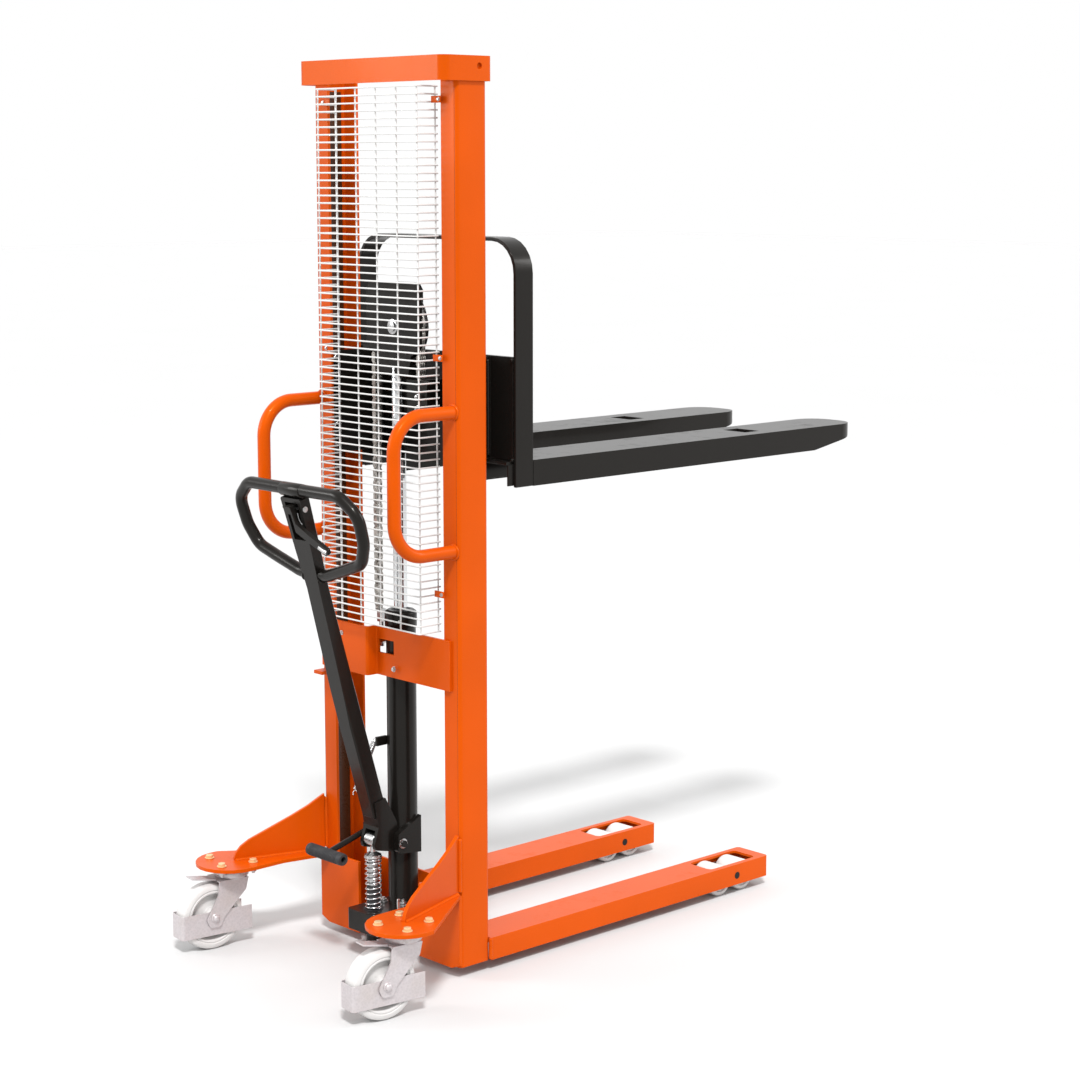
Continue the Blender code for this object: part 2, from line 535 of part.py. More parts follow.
def forks():
    w, tip, top = FORK_HALF, FORK_TIP, FORK_TOP
    for side, sign in SIDES:
        mid = sign * FORK_X
        plan = fillet([(mid - w, -0.084), (mid + w, -0.084), (mid + w, tip), (mid - w, tip)],
                      [0, 0, 0.058, 0.058], 6)
        fork = prism(f"fork_{side}", plan, "z", top - FORK_HEIGHT, top, DARK)
        under = prism(f"fork_under_{side}", [
            (0.905, 1.02), (1.12, 1.02), (1.12, 1.0945), (1.055, 1.0870), (0.905, top - FORK_HEIGHT - 0.0002)],
            "x", mid - 0.1, mid + 0.1)
        hollow = prism(f"fork_hollow_{side}", [
            (-0.10, 1.0), (0.900, 1.0), (0.985, top - 0.028), (0.985, top - 0.007), (-0.10, top - 0.007)],
            "x", mid - w + 0.007, mid + w - 0.007)
        slot = box(f"fork_slot_{side}", (mid - 0.035, 0.700, top - 0.02), (mid + 0.035, 0.748, top + 0.02))
        outer = sorted((sign * (FORK_X + w - 0.0105), sign * (FORK_X + w + 0.01)))
        notch = box(f"fork_notch_{side}", (outer[0], -0.10, 1.0), (outer[1], -0.0150, top + 0.02))
        heel = box(f"fork_heel_{side}", (mid - 0.1, -0.10, HEEL_TOP), (mid + 0.1, -0.0150, top + 0.02))
        cut(fork, under, hollow, slot, notch, heel)
    path = [(-0.2597, 1.0615), (-0.2597, 1.583), (0.2597, 1.583), (0.2597, 1.0615)]
    prism("load_backrest", ribbon(path, 0.008, [0, 0.071, 0.071, 0], 6), "y", -0.0655, -0.0155, DARK,
          smooth=True)


def load_rollers():
    for side, sign in SIDES:
        mid = sign * LEG_X
        frame = prism(f"roller_bogie_{side}", fillet(
            [(BOGIE_Y - 0.052, 0.026), (BOGIE_Y + 0.052, 0.026), (BOGIE_Y + 0.052, 0.048),
             (BOGIE_Y + 0.012, 0.059), (BOGIE_Y - 0.012, 0.059), (BOGIE_Y - 0.052, 0.048)], 0.005, 2),
            "x", mid - 0.0385, mid + 0.0385, BRIGHT)
        clear_mid = box(f"bogie_gap_{side}", (mid - 0.0335, BOGIE_Y - 0.1, 0.0),
                        (mid + 0.0335, BOGIE_Y + 0.1, 0.1))
        cut(frame, clear_mid)
        cut(frame, rod(f"bogie_bore_{side}", (mid - 0.06, BOGIE_Y, 0.047), (mid + 0.06, BOGIE_Y, 0.047),
                       0.0081, seg=16))
        for end, dy in (("rear", -ROLLER_PITCH / 2), ("front", ROLLER_PITCH / 2)):
            y = BOGIE_Y + dy
            axle = rod(f"bogie_axle_{side}_{end}", (mid - 0.036, y, ROLLER_R), (mid + 0.036, y, ROLLER_R),
                       0.0060, seg=12)
            join(frame, axle)
            lathe(f"load_roller_{side}_{end}", [
                (0.0063, mid - 0.0315), (ROLLER_R - 0.003, mid - 0.0315), (ROLLER_R, mid - 0.0285),
                (ROLLER_R, mid + 0.0285), (ROLLER_R - 0.003, mid + 0.0315), (0.0063, mid + 0.0315)],
                (0, y, ROLLER_R), (1, 0, 0), WHITE, 20)


# Castors ------------------------------------------------------------------------------------
def castor(side, sign):
    """One swivel castor, modelled about its swivel axis and then turned to rest."""
    place = Matrix.Translation((sign * CASTOR_X, CASTOR_Y, 0)) @ Matrix.Rotation(CASTOR_YAW, 4, "Z")

    def put(obj):
        obj.data.transform(place)
        return obj

    trail, axle_z, width = -CASTOR_TRAIL, WHEEL_R, WHEEL_W / 2
    plate = prism(f"castor_plate_{side}", fillet(
        [(-0.050, -0.050), (0.050, -0.050), (0.050, 0.050), (-0.050, 0.050)], 0.008, 2),
        "z", 0.1785, 0.1835, PLATED)
    plate.data.transform(Matrix.Translation((sign * CASTOR_X, CASTOR_Y, 0))
                         @ Matrix.Rotation(sign * WING_ANGLE, 4, "Z"))
    fork = lathe(f"castor_fork_{side}", [
        (0.0, 0.1520), (0.0300, 0.1520), (0.0370, 0.1600), (0.0370, 0.1700), (0.0320, 0.1780),
        (0.0, 0.1780)], (0, 0, 0), (0, 0, 1), PLATED, 24)
    crown = box(f"crown_{side}", (-0.0315, -0.046, 0.1535), (0.0315, 0.026, 0.1575))
    leg_shape = fillet([(-0.046, 0.1570), (0.026, 0.1570), (0.020, 0.130), (trail + 0.022, 0.074),
                        (trail + 0.013, 0.054), (trail - 0.013, 0.054), (trail - 0.021, 0.072),
                        (-0.050, 0.125)], [0.003, 0.003, 0.01, 0.008, 0.008, 0.008, 0.01, 0.01], 2)
    cheeks = [prism(f"fork_leg_{side}_{k}", leg_shape, "x", *sorted((k * 0.0275, k * 0.0315)))
              for k in (-1, 1)]
    axle = rod(f"axle_{side}", (-0.0385, trail, axle_z), (0.0385, trail, axle_z), 0.0060, seg=12)
    for piece in (fork, crown, *cheeks, axle):
        put(piece)
    join(fork, crown, *cheeks, axle)
    wheel = lathe(f"castor_wheel_{side}", [
        (0.0063, -0.0225), (0.0180, -0.0225), (0.0210, -0.0110), (0.0480, -0.0090), (0.0540, -width),
        (0.0710, -width), (WHEEL_R, -width + 0.005), (WHEEL_R, width - 0.005), (0.0710, width),
        (0.0540, width), (0.0480, 0.0090), (0.0210, 0.0110), (0.0180, 0.0225), (0.0063, 0.0225)],
        (0, trail, axle_z), (1, 0, 0), WHITE, 20)
    put(wheel)
    # Foot guard: a strip bent round the back of the wheel at axle height.
    x, rear, front = 0.0253, trail - 0.0795, trail + 0.094
    guard = prism(f"foot_guard_{side}", ribbon(
        [(x, front), (x, rear), (-x, rear), (-x, front)], 0.0015, [0, 0.007, 0.007, 0], 3),
        "z", 0.034, 0.089, PLATED, smooth=True)
    cut(guard, rod(f"guard_hole_{side}", (-0.05, trail, axle_z), (0.05, trail, axle_z), 0.0063, seg=12))
    for obj in (guard, bpy.data.objects[f"guard_hole_{side}"]):
        put(obj)
    # Brake pedal over the wheel.
    brake = prism(f"castor_brake_{side}", fillet(
        [(-0.0468, 0.1600), (-0.1060, 0.1700), (-0.1060, 0.1665), (-0.0560, 0.1570), (-0.0468, 0.1540)],
        0), "x", -0.0150, 0.0150, PLATED)
    put(brake)


def origins():
    """Puts each moving piece's origin on its own axis, and the rest of a moving body's on the body's."""
    places = {"pump_plunger": (0, -0.253, 0.0), "foot_pedal": PIVOT, "pedal_grip": PIVOT,
              "release_lever": (0.068, -0.238, 0.094), "piston_rod": (0, CYL_Y, 0), "lift_head": (0, CYL_Y, 0),
              "chain_sheave": (0, CYL_Y, SHEAVE_Z), "nose_roller": local([(0, *NOSE)])[0],
              "control_lever": local([(0, -0.0240, 0.806)])[0]}
    turn = Matrix.Rotation(CASTOR_YAW, 3, "Z")
    for side, sign in SIDES:
        swivel = Vector((sign * CASTOR_X, CASTOR_Y, 0))
        places[f"castor_fork_{side}"] = places[f"foot_guard_{side}"] = swivel
        places[f"castor_wheel_{side}"] = swivel + turn @ Vector((0, -CASTOR_TRAIL, WHEEL_R))
        places[f"castor_brake_{side}"] = swivel + turn @ Vector(BRAKE_PIN)
        places[f"roller_bogie_{side}"] = (sign * LEG_X, BOGIE_Y, 0.047)
        for end, dy in (("rear", -ROLLER_PITCH / 2), ("front", ROLLER_PITCH / 2)):
            places[f"load_roller_{side}_{end}"] = (sign * LEG_X, BOGIE_Y + dy, ROLLER_R)
        for level, z in (("lower", 1.148), ("upper", 1.298)):
            places[f"mast_roller_{side}_{level}"] = (sign * 0.20975, -0.1615, z)
    for name, place in places.items():
        obj = bpy.data.objects[name]
        shift = Vector(place) - obj.location
        obj.data.transform(Matrix.Translation(-shift))
        obj.location = place


def recentre():
    for obj in bpy.context.scene.objects:
        if obj.parent is None:
            obj.location.y += SHIFT_Y


def main():
    clear()
    posts()
    cross_head()
    mid_member()
    legs()
    base_plates()
    wings()
    handles()
    mesh_guard()
    hydraulics()
    tiller()
    piston()
    chain()
    carriage()
    forks()
    load_rollers()
    for side, sign in SIDES:
        castor(side, sign)
    origins()
    recentre()


main()
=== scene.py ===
"""Walkie stacker: the finished look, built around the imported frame.

Metres, +Z up, +Y the way the forks point, +X the operator's right, floor at z = 0."""

import json
import math

import bmesh
import bpy
from bpy.props import FloatProperty, FloatVectorProperty, IntProperty, PointerProperty
from mathutils import Matrix, Vector


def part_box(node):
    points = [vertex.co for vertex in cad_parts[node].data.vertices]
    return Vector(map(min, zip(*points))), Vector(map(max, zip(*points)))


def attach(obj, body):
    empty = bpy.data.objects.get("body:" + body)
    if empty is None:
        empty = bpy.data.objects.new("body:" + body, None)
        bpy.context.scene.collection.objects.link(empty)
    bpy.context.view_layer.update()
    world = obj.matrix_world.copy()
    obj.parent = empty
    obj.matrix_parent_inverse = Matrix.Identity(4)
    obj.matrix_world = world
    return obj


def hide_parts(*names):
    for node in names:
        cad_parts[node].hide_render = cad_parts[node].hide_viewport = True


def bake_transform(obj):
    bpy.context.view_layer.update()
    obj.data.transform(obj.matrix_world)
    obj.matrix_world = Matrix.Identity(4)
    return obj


bl_info = {
    "name": "Walkie stacker",
    "version": (1, 0, 0),
    "blender": (4, 5, 0),
    "location": "View3D > Sidebar > Stacker",
    "description": "Builds the finished pieces of a hand hydraulic stacker on its frame",
    "category": "Object",
}

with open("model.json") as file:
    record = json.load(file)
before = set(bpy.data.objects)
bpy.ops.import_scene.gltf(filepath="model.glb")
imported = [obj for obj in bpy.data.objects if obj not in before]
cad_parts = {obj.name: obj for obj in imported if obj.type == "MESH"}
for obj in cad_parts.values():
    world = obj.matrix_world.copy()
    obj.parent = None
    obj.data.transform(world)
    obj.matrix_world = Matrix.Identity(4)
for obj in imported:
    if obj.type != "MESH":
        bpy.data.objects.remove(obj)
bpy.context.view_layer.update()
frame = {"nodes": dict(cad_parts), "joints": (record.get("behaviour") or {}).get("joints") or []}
NODES = frame["nodes"]
JOINTS = {joint["name"]: joint for joint in frame["joints"]}
SIDES = (("left", -1), ("right", 1))
X, Y, Z = Vector((1, 0, 0)), Vector((0, 1, 0)), Vector((0, 0, 1))


def low(node):
    return Vector(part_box(node)[0])


def high(node):
    return Vector(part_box(node)[1])


def middle(node):
    return (low(node) + high(node)) / 2


def outer_and_inner(node, sign):
    """The x of a node's face away from the middle and of the face towards it."""
    xs = (high(node).x, low(node).x)
    return xs if sign > 0 else xs[::-1]


def axis_of(joint):
    """The place and the unit direction of a hinge."""
    return Vector(JOINTS[joint]["pos_m"]), Vector(JOINTS[joint]["axis"]).normalized()


MAST_Y = middle("lift_cylinder").y
POST_REAR = low("mast_post_right").y
PAD_TOP = 0.192  # top of the pads that the castors are bolted under
PIVOT = axis_of("tiller_pump")[0]
LEAN = Matrix.Translation(PIVOT) @ Matrix.Rotation(math.radians(16.2), 4, "X")


def on_tiller(across, through, along):
    """A point in the leaning tiller's own directions, counted from its pivot pin."""
    return LEAN @ Vector((across, through, along))


# Settings -----------------------------------------------------------------------------------
class StackerSizes(bpy.types.PropertyGroup):
    edge: FloatProperty(name="Edge rounding", description="Rounding on cut steel edges",
                        default=0.0012, unit="LENGTH")
    wire: FloatProperty(name="Guard wire", description="Thickness of the guard's wires",
                        default=0.0036, unit="LENGTH")
    wire_pitch: FloatProperty(name="Cross wire pitch", description="Distance between cross wires",
                              default=0.0160, unit="LENGTH")
    bolt: FloatProperty(name="Bolt width", description="Width across the flats of a castor bolt",
                        default=0.0150, unit="LENGTH")
    bead: FloatProperty(name="Weld bead", description="Radius of a weld bead",
                        default=0.0026, unit="LENGTH")
    chain_pitch: FloatProperty(name="Chain pitch", description="Distance between chain pins",
                               default=0.0127, unit="LENGTH")
    round_steps: IntProperty(name="Round steps", description="Steps round a turned piece", default=64)


class StackerColours(bpy.types.PropertyGroup):
    orange: FloatVectorProperty(name="Orange", description="Powder coat of the mast and base",
                                subtype="COLOR", default=(0.53, 0.066, 0.0012))
    black: FloatVectorProperty(name="Black", description="Paint of the carriage and tiller",
                               subtype="COLOR", default=(0.0070, 0.0060, 0.0052))
    zinc: FloatVectorProperty(name="Zinc", description="Plating of the castor brackets",
                              subtype="COLOR", default=(0.56, 0.52, 0.53))
    nylon: FloatVectorProperty(name="Nylon", description="Castor wheels and load rollers",
                               subtype="COLOR", default=(0.58, 0.565, 0.555))
    floor: FloatVectorProperty(name="Floor", description="Studio floor", subtype="COLOR",
                               default=(0.55, 0.55, 0.55))


def sizes():
    return bpy.context.scene.stacker_sizes


def colours():
    return bpy.context.scene.stacker_colours


# Shader maths -------------------------------------------------------------------------------
class Socket:
    """One shader value. Arithmetic on it adds Math nodes to its tree."""

    def __init__(self, shader, socket):
        self.shader = shader
        self.socket = socket

    def math(self, operation, first, second=None):
        values = [first] if second is None else [first, second]
        return self.shader.node("ShaderNodeMath", {"operation": operation}, dict(enumerate(values)))

    def __add__(self, other):
        return self.math("ADD", self, other)

    def __sub__(self, other):
        return self.math("SUBTRACT", self, other)

    def __rsub__(self, other):
        return self.math("SUBTRACT", other, self)

    def __mul__(self, other):
        return self.math("MULTIPLY", self, other)

    __radd__ = __add__
    __rmul__ = __mul__

    def held(self):
        """The value kept between 0 and 1."""
        made = self.math("ADD", self, 0.0)
        made.socket.node.use_clamp = True
        return made


class Shader:
    """One material: a Principled shader and the nodes that feed it."""

    def __init__(self, name, **constants):
        self.material = bpy.data.materials.new(name)
        self.material.use_nodes = True
        self.tree = self.material.node_tree
        self.surface = self.tree.nodes["Principled BSDF"]
        for key, value in constants.items():
            self.surface.inputs[key.replace("_", " ")].default_value = value
        self.place = self.node("ShaderNodeTexCoord", out="Object")

    def node(self, kind, settings=None, values=None, out=0):
        made = self.tree.nodes.new(kind)
        for key, value in (settings or {}).items():
            setattr(made, key, value)
        for key, value in (values or {}).items():
            if isinstance(value, Socket):
                self.tree.links.new(value.socket, made.inputs[key])
            else:
                made.inputs[key].default_value = value
        return Socket(self, made.outputs[out])

    def stretched(self, scale):
        return self.node("ShaderNodeMapping", {}, {"Vector": self.place, "Scale": scale}, "Vector")

    def noise(self, scale, detail=3.0, rough=0.5, place=None):
        return self.node("ShaderNodeTexNoise", {}, {
            "Vector": place or self.place, "Scale": scale, "Detail": detail, "Roughness": rough}, "Fac")

    def cells(self, scale):
        return self.node("ShaderNodeTexVoronoi", {"feature": "F1"}, {
            "Vector": self.place, "Scale": scale}, "Distance")

    def between(self, value, start, end):
        """0 below start, 1 above end."""
        return self.node("ShaderNodeMapRange", {"clamp": True}, {
            "Value": value, "From Min": start, "From Max": end})

    def tones(self, factor, first, second):
        first, second = (tone if isinstance(tone, Socket) else (*tone, 1) for tone in (first, second))
        return self.node("ShaderNodeMix", {"data_type": "RGBA"}, {0: factor, 6: first, 7: second}, 2)

    def edges(self, radius):
        """1 on a sharp edge, 0 on a flat."""
        soft = self.node("ShaderNodeBevel", {"samples": 4}, {"Radius": radius})
        flat = self.node("ShaderNodeNewGeometry", out="Normal")
        same = self.node("ShaderNodeVectorMath", {"operation": "DOT_PRODUCT"}, {0: soft, 1: flat}, "Value")
        return self.between(1.0 - same, 0.02, 0.22)

    def bump(self, height, distance, strength):
        return self.node("ShaderNodeBump", {}, {
            "Height": height, "Distance": distance, "Strength": strength}, "Normal")

    def feed(self, **links):
        for key, value in links.items():
            self.tree.links.new(value.socket, self.surface.inputs[key.replace("_", " ")])
        return self.material


def shade(colour, factor):
    return tuple(min(1.0, c * factor) for c in colour)


# Finishes -----------------------------------------------------------------------------------
def powder_coat(name, colour, rough, coat, wear, gleam=(1.0, 1.0, 1.0), shine=0.30):
    """Sprayed and baked paint: an even peel, slow tone drift, dust specks and rubbed edges."""
    s = Shader(name, Coat_Roughness=0.08, Coat_Weight=coat, Specular_IOR_Level=shine,
               Specular_Tint=(*gleam, 1))
    drift = s.noise(5.0, 2.0)
    grain = s.noise(420.0, 2.0)
    peel = s.noise(260.0, 3.0, 0.55)
    tone = s.tones(s.between(drift, 0.3, 0.7), shade(colour, 0.93), shade(colour, 1.05))
    tone = s.tones(s.between(grain, 0.35, 0.8) * 0.25, tone, shade(colour, 1.25))
    rubbed = s.edges(0.0016) * s.between(s.noise(38.0, 4.0, 0.7), 0.42, 0.62)
    tone = s.tones(rubbed * 0.55, tone, wear)
    scuff = s.between(s.noise(16.0, 5.0, 0.7, s.stretched((1.0, 1.0, 0.25))), 0.55, 0.75)
    return s.feed(Base_Color=tone, Roughness=(rough + scuff * 0.12 + grain * 0.05).held(),
                  Normal=s.bump(peel, 0.00012, 0.5))


def bare_steel(name, colour, rough, lines, metal=1.0):
    """Machined or plated steel with fine drawn lines and faint stains."""
    s = Shader(name, Metallic=metal)
    drawn = s.noise(lines, 3.0, 0.6, s.stretched((1.0, 1.0, 6.0)))
    stain = s.between(s.noise(30.0, 5.0, 0.65), 0.45, 0.75)
    tone = s.tones(drawn * 0.5, shade(colour, 0.82), shade(colour, 1.1))
    tone = s.tones(stain * 0.35, tone, shade(colour, 0.62))
    worn = s.edges(0.0010)
    tone = s.tones(worn * 0.4, tone, shade(colour, 1.35))
    return s.feed(Base_Color=tone, Roughness=(rough + drawn * 0.12 + stain * 0.12).held(),
                  Normal=s.bump(drawn, 0.00005, 0.4))


def plated_sheet(name, colour):
    """Passivated zinc: a soft grey with a spangle and a faint warm bloom."""
    s = Shader(name, Metallic=0.55)
    spangle = s.cells(190.0)
    bloom = s.noise(14.0, 4.0, 0.6)
    tone = s.tones(spangle, shade(colour, 0.90), shade(colour, 1.08))
    tone = s.tones(s.between(bloom, 0.45, 0.7) * 0.4, tone, (0.50, 0.44, 0.40))
    tone = s.tones(s.edges(0.0010) * 0.4, tone, (0.66, 0.63, 0.62))
    return s.feed(Base_Color=tone, Roughness=(0.36 + bloom * 0.18).held(),
                  Normal=s.bump(s.noise(330.0, 3.0), 0.00006, 0.5))


def cast_nylon(name, colour):
    """Moulded nylon: milky, with flow marks and grime that has settled in."""
    s = Shader(name, Specular_IOR_Level=0.45)
    flow = s.noise(22.0, 4.0, 0.6)
    grime = s.between(s.noise(70.0, 5.0, 0.7), 0.56, 0.78)
    tone = s.tones(flow, shade(colour, 0.96), shade(colour, 1.05))
    tone = s.tones(grime * 0.35, tone, (0.34, 0.31, 0.28))
    return s.feed(Base_Color=tone, Roughness=(0.32 + flow * 0.16 + grime * 0.2).held(),
                  Normal=s.bump(s.noise(520.0, 2.0), 0.00004, 0.4))


def black_rubber(name):
    s = Shader(name, Specular_IOR_Level=0.35)
    dust = s.between(s.noise(55.0, 4.0, 0.65), 0.5, 0.8)
    tone = s.tones(dust * 0.5, (0.022, 0.022, 0.024), (0.085, 0.082, 0.080))
    return s.feed(Base_Color=tone, Roughness=(0.52 + dust * 0.25).held(),
                  Normal=s.bump(s.noise(650.0, 2.0), 0.00008, 0.6))


def oiled_chain(name):
    s = Shader(name, Metallic=0.9)
    oil = s.between(s.noise(90.0, 4.0, 0.7), 0.4, 0.7)
    tone = s.tones(oil, (0.50, 0.48, 0.45), (0.10, 0.085, 0.07))
    return s.feed(Base_Color=tone, Roughness=(0.28 + oil * 0.25).held(),
                  Normal=s.bump(s.noise(500.0, 2.0), 0.00005, 0.5))


def studio_floor(name, colour):
    s = Shader(name, Roughness=0.75, Specular_IOR_Level=0.2)
    tone = s.tones(s.noise(1.2, 2.0), shade(colour, 0.99), shade(colour, 1.01))
    return s.feed(Base_Color=tone)


FINISHES = {
    "orange": lambda c: powder_coat("orange_powder_coat", tuple(c.orange), 0.32, 0.045,
                                    (0.66, 0.17, 0.02), (1.0, 0.42, 0.06), 0.22),
    "black": lambda c: powder_coat("black_paint", tuple(c.black), 0.26, 0.12,
                                   (0.040, 0.040, 0.040), (0.62, 0.60, 0.56), 0.22),
    # Near-black coat for the sheet in the post channels: painted shade for the channel's dark hollow, not
    # grease.
    "painted_shade": lambda c: powder_coat("painted_channel_shade", (0.055, 0.022, 0.008), 0.25, 0.1, (0.10, 0.05, 0.02)),
    "wire": lambda c: powder_coat("white_wire_coat", (0.60, 0.60, 0.59), 0.35, 0.2, (0.46, 0.44, 0.41)),
    "zinc": lambda c: plated_sheet("plated_bracket", tuple(c.zinc)),
    "nylon": lambda c: cast_nylon("cast_nylon", tuple(c.nylon)),
    "steel": lambda c: bare_steel("turned_steel", (0.60, 0.60, 0.60), 0.22, 160.0),
    "spring": lambda c: bare_steel("spring_steel", (0.66, 0.66, 0.67), 0.16, 90.0),
    "chrome": lambda c: bare_steel("hard_chrome", (0.78, 0.79, 0.80), 0.05, 60.0),
    "gilt": lambda c: bare_steel("yellow_plated_bolt", (0.90, 0.62, 0.34), 0.30, 120.0, 0.55),
    "rubber": lambda c: black_rubber("ribbed_rubber"),
    "chain": lambda c: oiled_chain("oiled_chain"),
}
MADE = {}


def finish_of(kind):
    """Each finish is made once, when it is first asked for."""
    if kind not in MADE:
        MADE[kind] = FINISHES[kind](colours())
    return MADE[kind]


# Modelling helpers --------------------------------------------------------------------------
def facing(at, axis):
    """The place of a shape made along +Z, stood at a point and turned to an axis."""
    return Matrix.Translation(at) @ Vector(axis).to_track_quat("Z", "Y").to_matrix().to_4x4()


def placed(name, data):
    """A new object in the scene."""
    made = bpy.data.objects.new(name, data)
    bpy.context.scene.collection.objects.link(made)
    return made


def edges_of(made):
    return {edge for vert in made["verts"] for edge in vert.link_edges}


def ease(bm, edges, radius, segments=2):
    """Rounds edges."""
    bmesh.ops.bevel(bm, geom=list(edges), offset=radius, offset_type="OFFSET", segments=segments,
                    profile=0.5, affect="EDGES", clamp_overlap=True, material=-1)


def mirrored(half):
    """A (radius, height) profile closed by its own reflection below height 0."""
    return half + [(r, -h) for r, h in reversed(half)]


def finished(bm, name, body, kind, stands_for=(), smooth=35, weighted=False):
    """Turns the bmesh into a piece that rides on a body."""
    bmesh.ops.remove_doubles(bm, verts=bm.verts[:], dist=2e-6)
    bmesh.ops.recalc_face_normals(bm, faces=bm.faces[:])
    mesh = bpy.data.meshes.new(name)
    bm.to_mesh(mesh)
    bm.free()
    piece = placed(name, mesh)
    mesh.materials.append(finish_of(kind))
    mesh.shade_smooth()
    mesh.set_sharp_from_angle(angle=math.radians(smooth))
    if weighted:
        step = piece.modifiers.new("Face weights", "WEIGHTED_NORMAL")
        step.keep_sharp = True
    if body:
        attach(piece, body)
    if stands_for:
        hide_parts(*stands_for)
    return piece


def softened(node, body, kind, width=None, name=None, fold=0.0):
    """The CAD node with its faces joined up and its cut edges rounded.

    The long folds at its outermost x get the radius fold."""
    bm = bmesh.new()
    bm.from_mesh(NODES[node].data)
    bmesh.ops.remove_doubles(bm, verts=bm.verts[:], dist=1e-5)
    bmesh.ops.dissolve_limit(bm, angle_limit=math.radians(0.5), verts=bm.verts[:], edges=bm.edges[:])
    if fold:
        reach = max(abs(v.co.x) for v in bm.verts)
        folds = [e for e in bm.edges if len(e.link_faces) == 2 and e.calc_length() > 0.8
                 and e.calc_face_angle(0) > 1 and all(abs(v.co.x) > reach - 1e-4 for v in e.verts)]
        ease(bm, folds, fold, 6)
    sharp = [e for e in bm.edges if len(e.link_faces) == 2 and e.calc_face_angle(0) > math.radians(30)]
    ease(bm, sharp, width or sizes().edge)
    return finished(bm, name or f"{node}_painted", body, kind, (node,), weighted=True)


def rod(bm, start, end, radius, steps=32, soft=0.0):
    """A round bar between two points, its rims eased by soft."""
    start, end = Vector(start), Vector(end)
    along = end - start
    made = bmesh.ops.create_cone(bm, cap_ends=True, segments=steps, radius1=radius, radius2=radius,
                                 depth=along.length, matrix=facing((start + end) / 2, along))
    if soft:
        direction = along.normalized()
        ease(bm, (e for e in edges_of(made)
                  if abs((e.verts[0].co - e.verts[1].co).dot(direction)) < 1e-6), soft)


def block(bm, lowest, highest, soft=0.0008, turn=None):
    """A box between two corners, its edges eased by soft."""
    lowest, highest = Vector(lowest), Vector(highest)
    size = highest - lowest
    place = Matrix.Translation((lowest + highest) / 2) @ Matrix.Diagonal((*size, 1))
    made = bmesh.ops.create_cube(bm, size=1.0, matrix=(turn @ place) if turn else place)
    if soft:
        ease(bm, edges_of(made), soft)


def turned(bm, profile, centre, axis, steps=None):
    """A closed (radius, height) profile spun about an axis through centre."""
    verts = [bm.verts.new((r, 0, h)) for r, h in profile]
    edges = [bm.edges.new((verts[i - 1], verts[i])) for i in range(len(verts))
             if max(profile[i - 1][0], profile[i][0]) > 1e-6]
    before = set(bm.verts) - set(verts)
    bmesh.ops.spin(bm, geom=verts + edges, cent=(0, 0, 0), axis=(0, 0, 1), angle=2 * math.pi,
                   steps=steps or sizes().round_steps, use_merge=True)
    new = [v for v in bm.verts if v not in before]
    bmesh.ops.transform(bm, matrix=facing(centre, axis), verts=new)


def turned_piece(name, body, kind, profile, centre, axis, steps=None, stands_for=(), smooth=35):
    bm = bmesh.new()
    turned(bm, profile, centre, axis, steps)
    return finished(bm, name, body, kind, stands_for, smooth)


def rounded(points, radius, steps=8, closed=False):
    """3-D points with each inner corner turned into an arc of its radius."""
    points = [Vector(p) for p in points]
    count = len(points)
    radii = radius if isinstance(radius, (list, tuple)) else [radius] * count
    out = []
    for i, (here, r) in enumerate(zip(points, radii)):
        if r == 0 or (not closed and i in (0, count - 1)):
            out.append(here)
            continue
        a = (points[i - 1] - here).normalized()
        b = (points[(i + 1) % count] - here).normalized()
        half = a.angle(b) / 2
        centre = here + (a + b).normalized() * (r / math.sin(half))
        start, end = here + a * (r / math.tan(half)) - centre, here + b * (r / math.tan(half)) - centre
        turn = start.rotation_difference(end)
        for k in range(steps + 1):
            out.append(centre + Matrix.Rotation(turn.angle * k / steps, 3, turn.axis) @ start)
    return out


def pipe(bm, points, radius, closed=False, steps=24, wobble=None):
    """A ring of edges extruded along the points."""
    points = [Vector(p) for p in points]
    count = len(points)
    tangents = []
    for i, here in enumerate(points):
        before = points[i - 1] if i or closed else here
        after = points[(i + 1) % count] if i + 1 < count or closed else here
        tangents.append((after - before).normalized())
    ring = bmesh.ops.create_circle(bm, cap_ends=not closed, segments=steps, radius=radius,
                                   matrix=facing(points[0], tangents[0]))
    first = edges = list(edges_of(ring))
    for i in range(1, count):
        grown = bmesh.ops.extrude_edge_only(bm, edges=edges)["geom"]
        verts = [g for g in grown if isinstance(g, bmesh.types.BMVert)]
        edges = [g for g in grown if isinstance(g, bmesh.types.BMEdge)]
        swing = tangents[i - 1].rotation_difference(tangents[i]).to_matrix().to_4x4()
        grow = (wobble(i) / wobble(i - 1)) if wobble else 1.0
        bmesh.ops.transform(bm, verts=verts, matrix=Matrix.Translation(points[i]) @ swing
                            @ Matrix.Scale(grow, 4) @ Matrix.Translation(-points[i - 1]))
    if closed:
        bmesh.ops.bridge_loops(bm, edges=edges + first)
    else:
        bmesh.ops.holes_fill(bm, edges=edges)


def bead(bm, points, radius, pitch=0.0035):
    """A weld bead: a pipe that swells and narrows with each ripple."""
    points = [Vector(p) for p in points]
    line = [points[0]]
    for a, b in zip(points, points[1:]):
        count = max(1, int((b - a).length / pitch * 2))
        line += [a.lerp(b, k / count) for k in range(1, count + 1)]
    pipe(bm, line, radius, steps=10,
         wobble=lambda i: 0.55 if i in (0, len(line) - 1) else (1.0 if i % 2 else 0.86))


def weld_ring(bm, centre, across, up, reach, radius, sides=10, dip=0.9):
    """A weld bead round a tube that runs square to across and up."""
    angles = [k * math.pi / 12 for k in range(24)]
    pipe(bm, [centre + (across * math.cos(a) + up * math.sin(a)) * reach for a in angles], radius,
         closed=True, steps=sides, wobble=lambda i: 1.0 if i % 2 else dip)


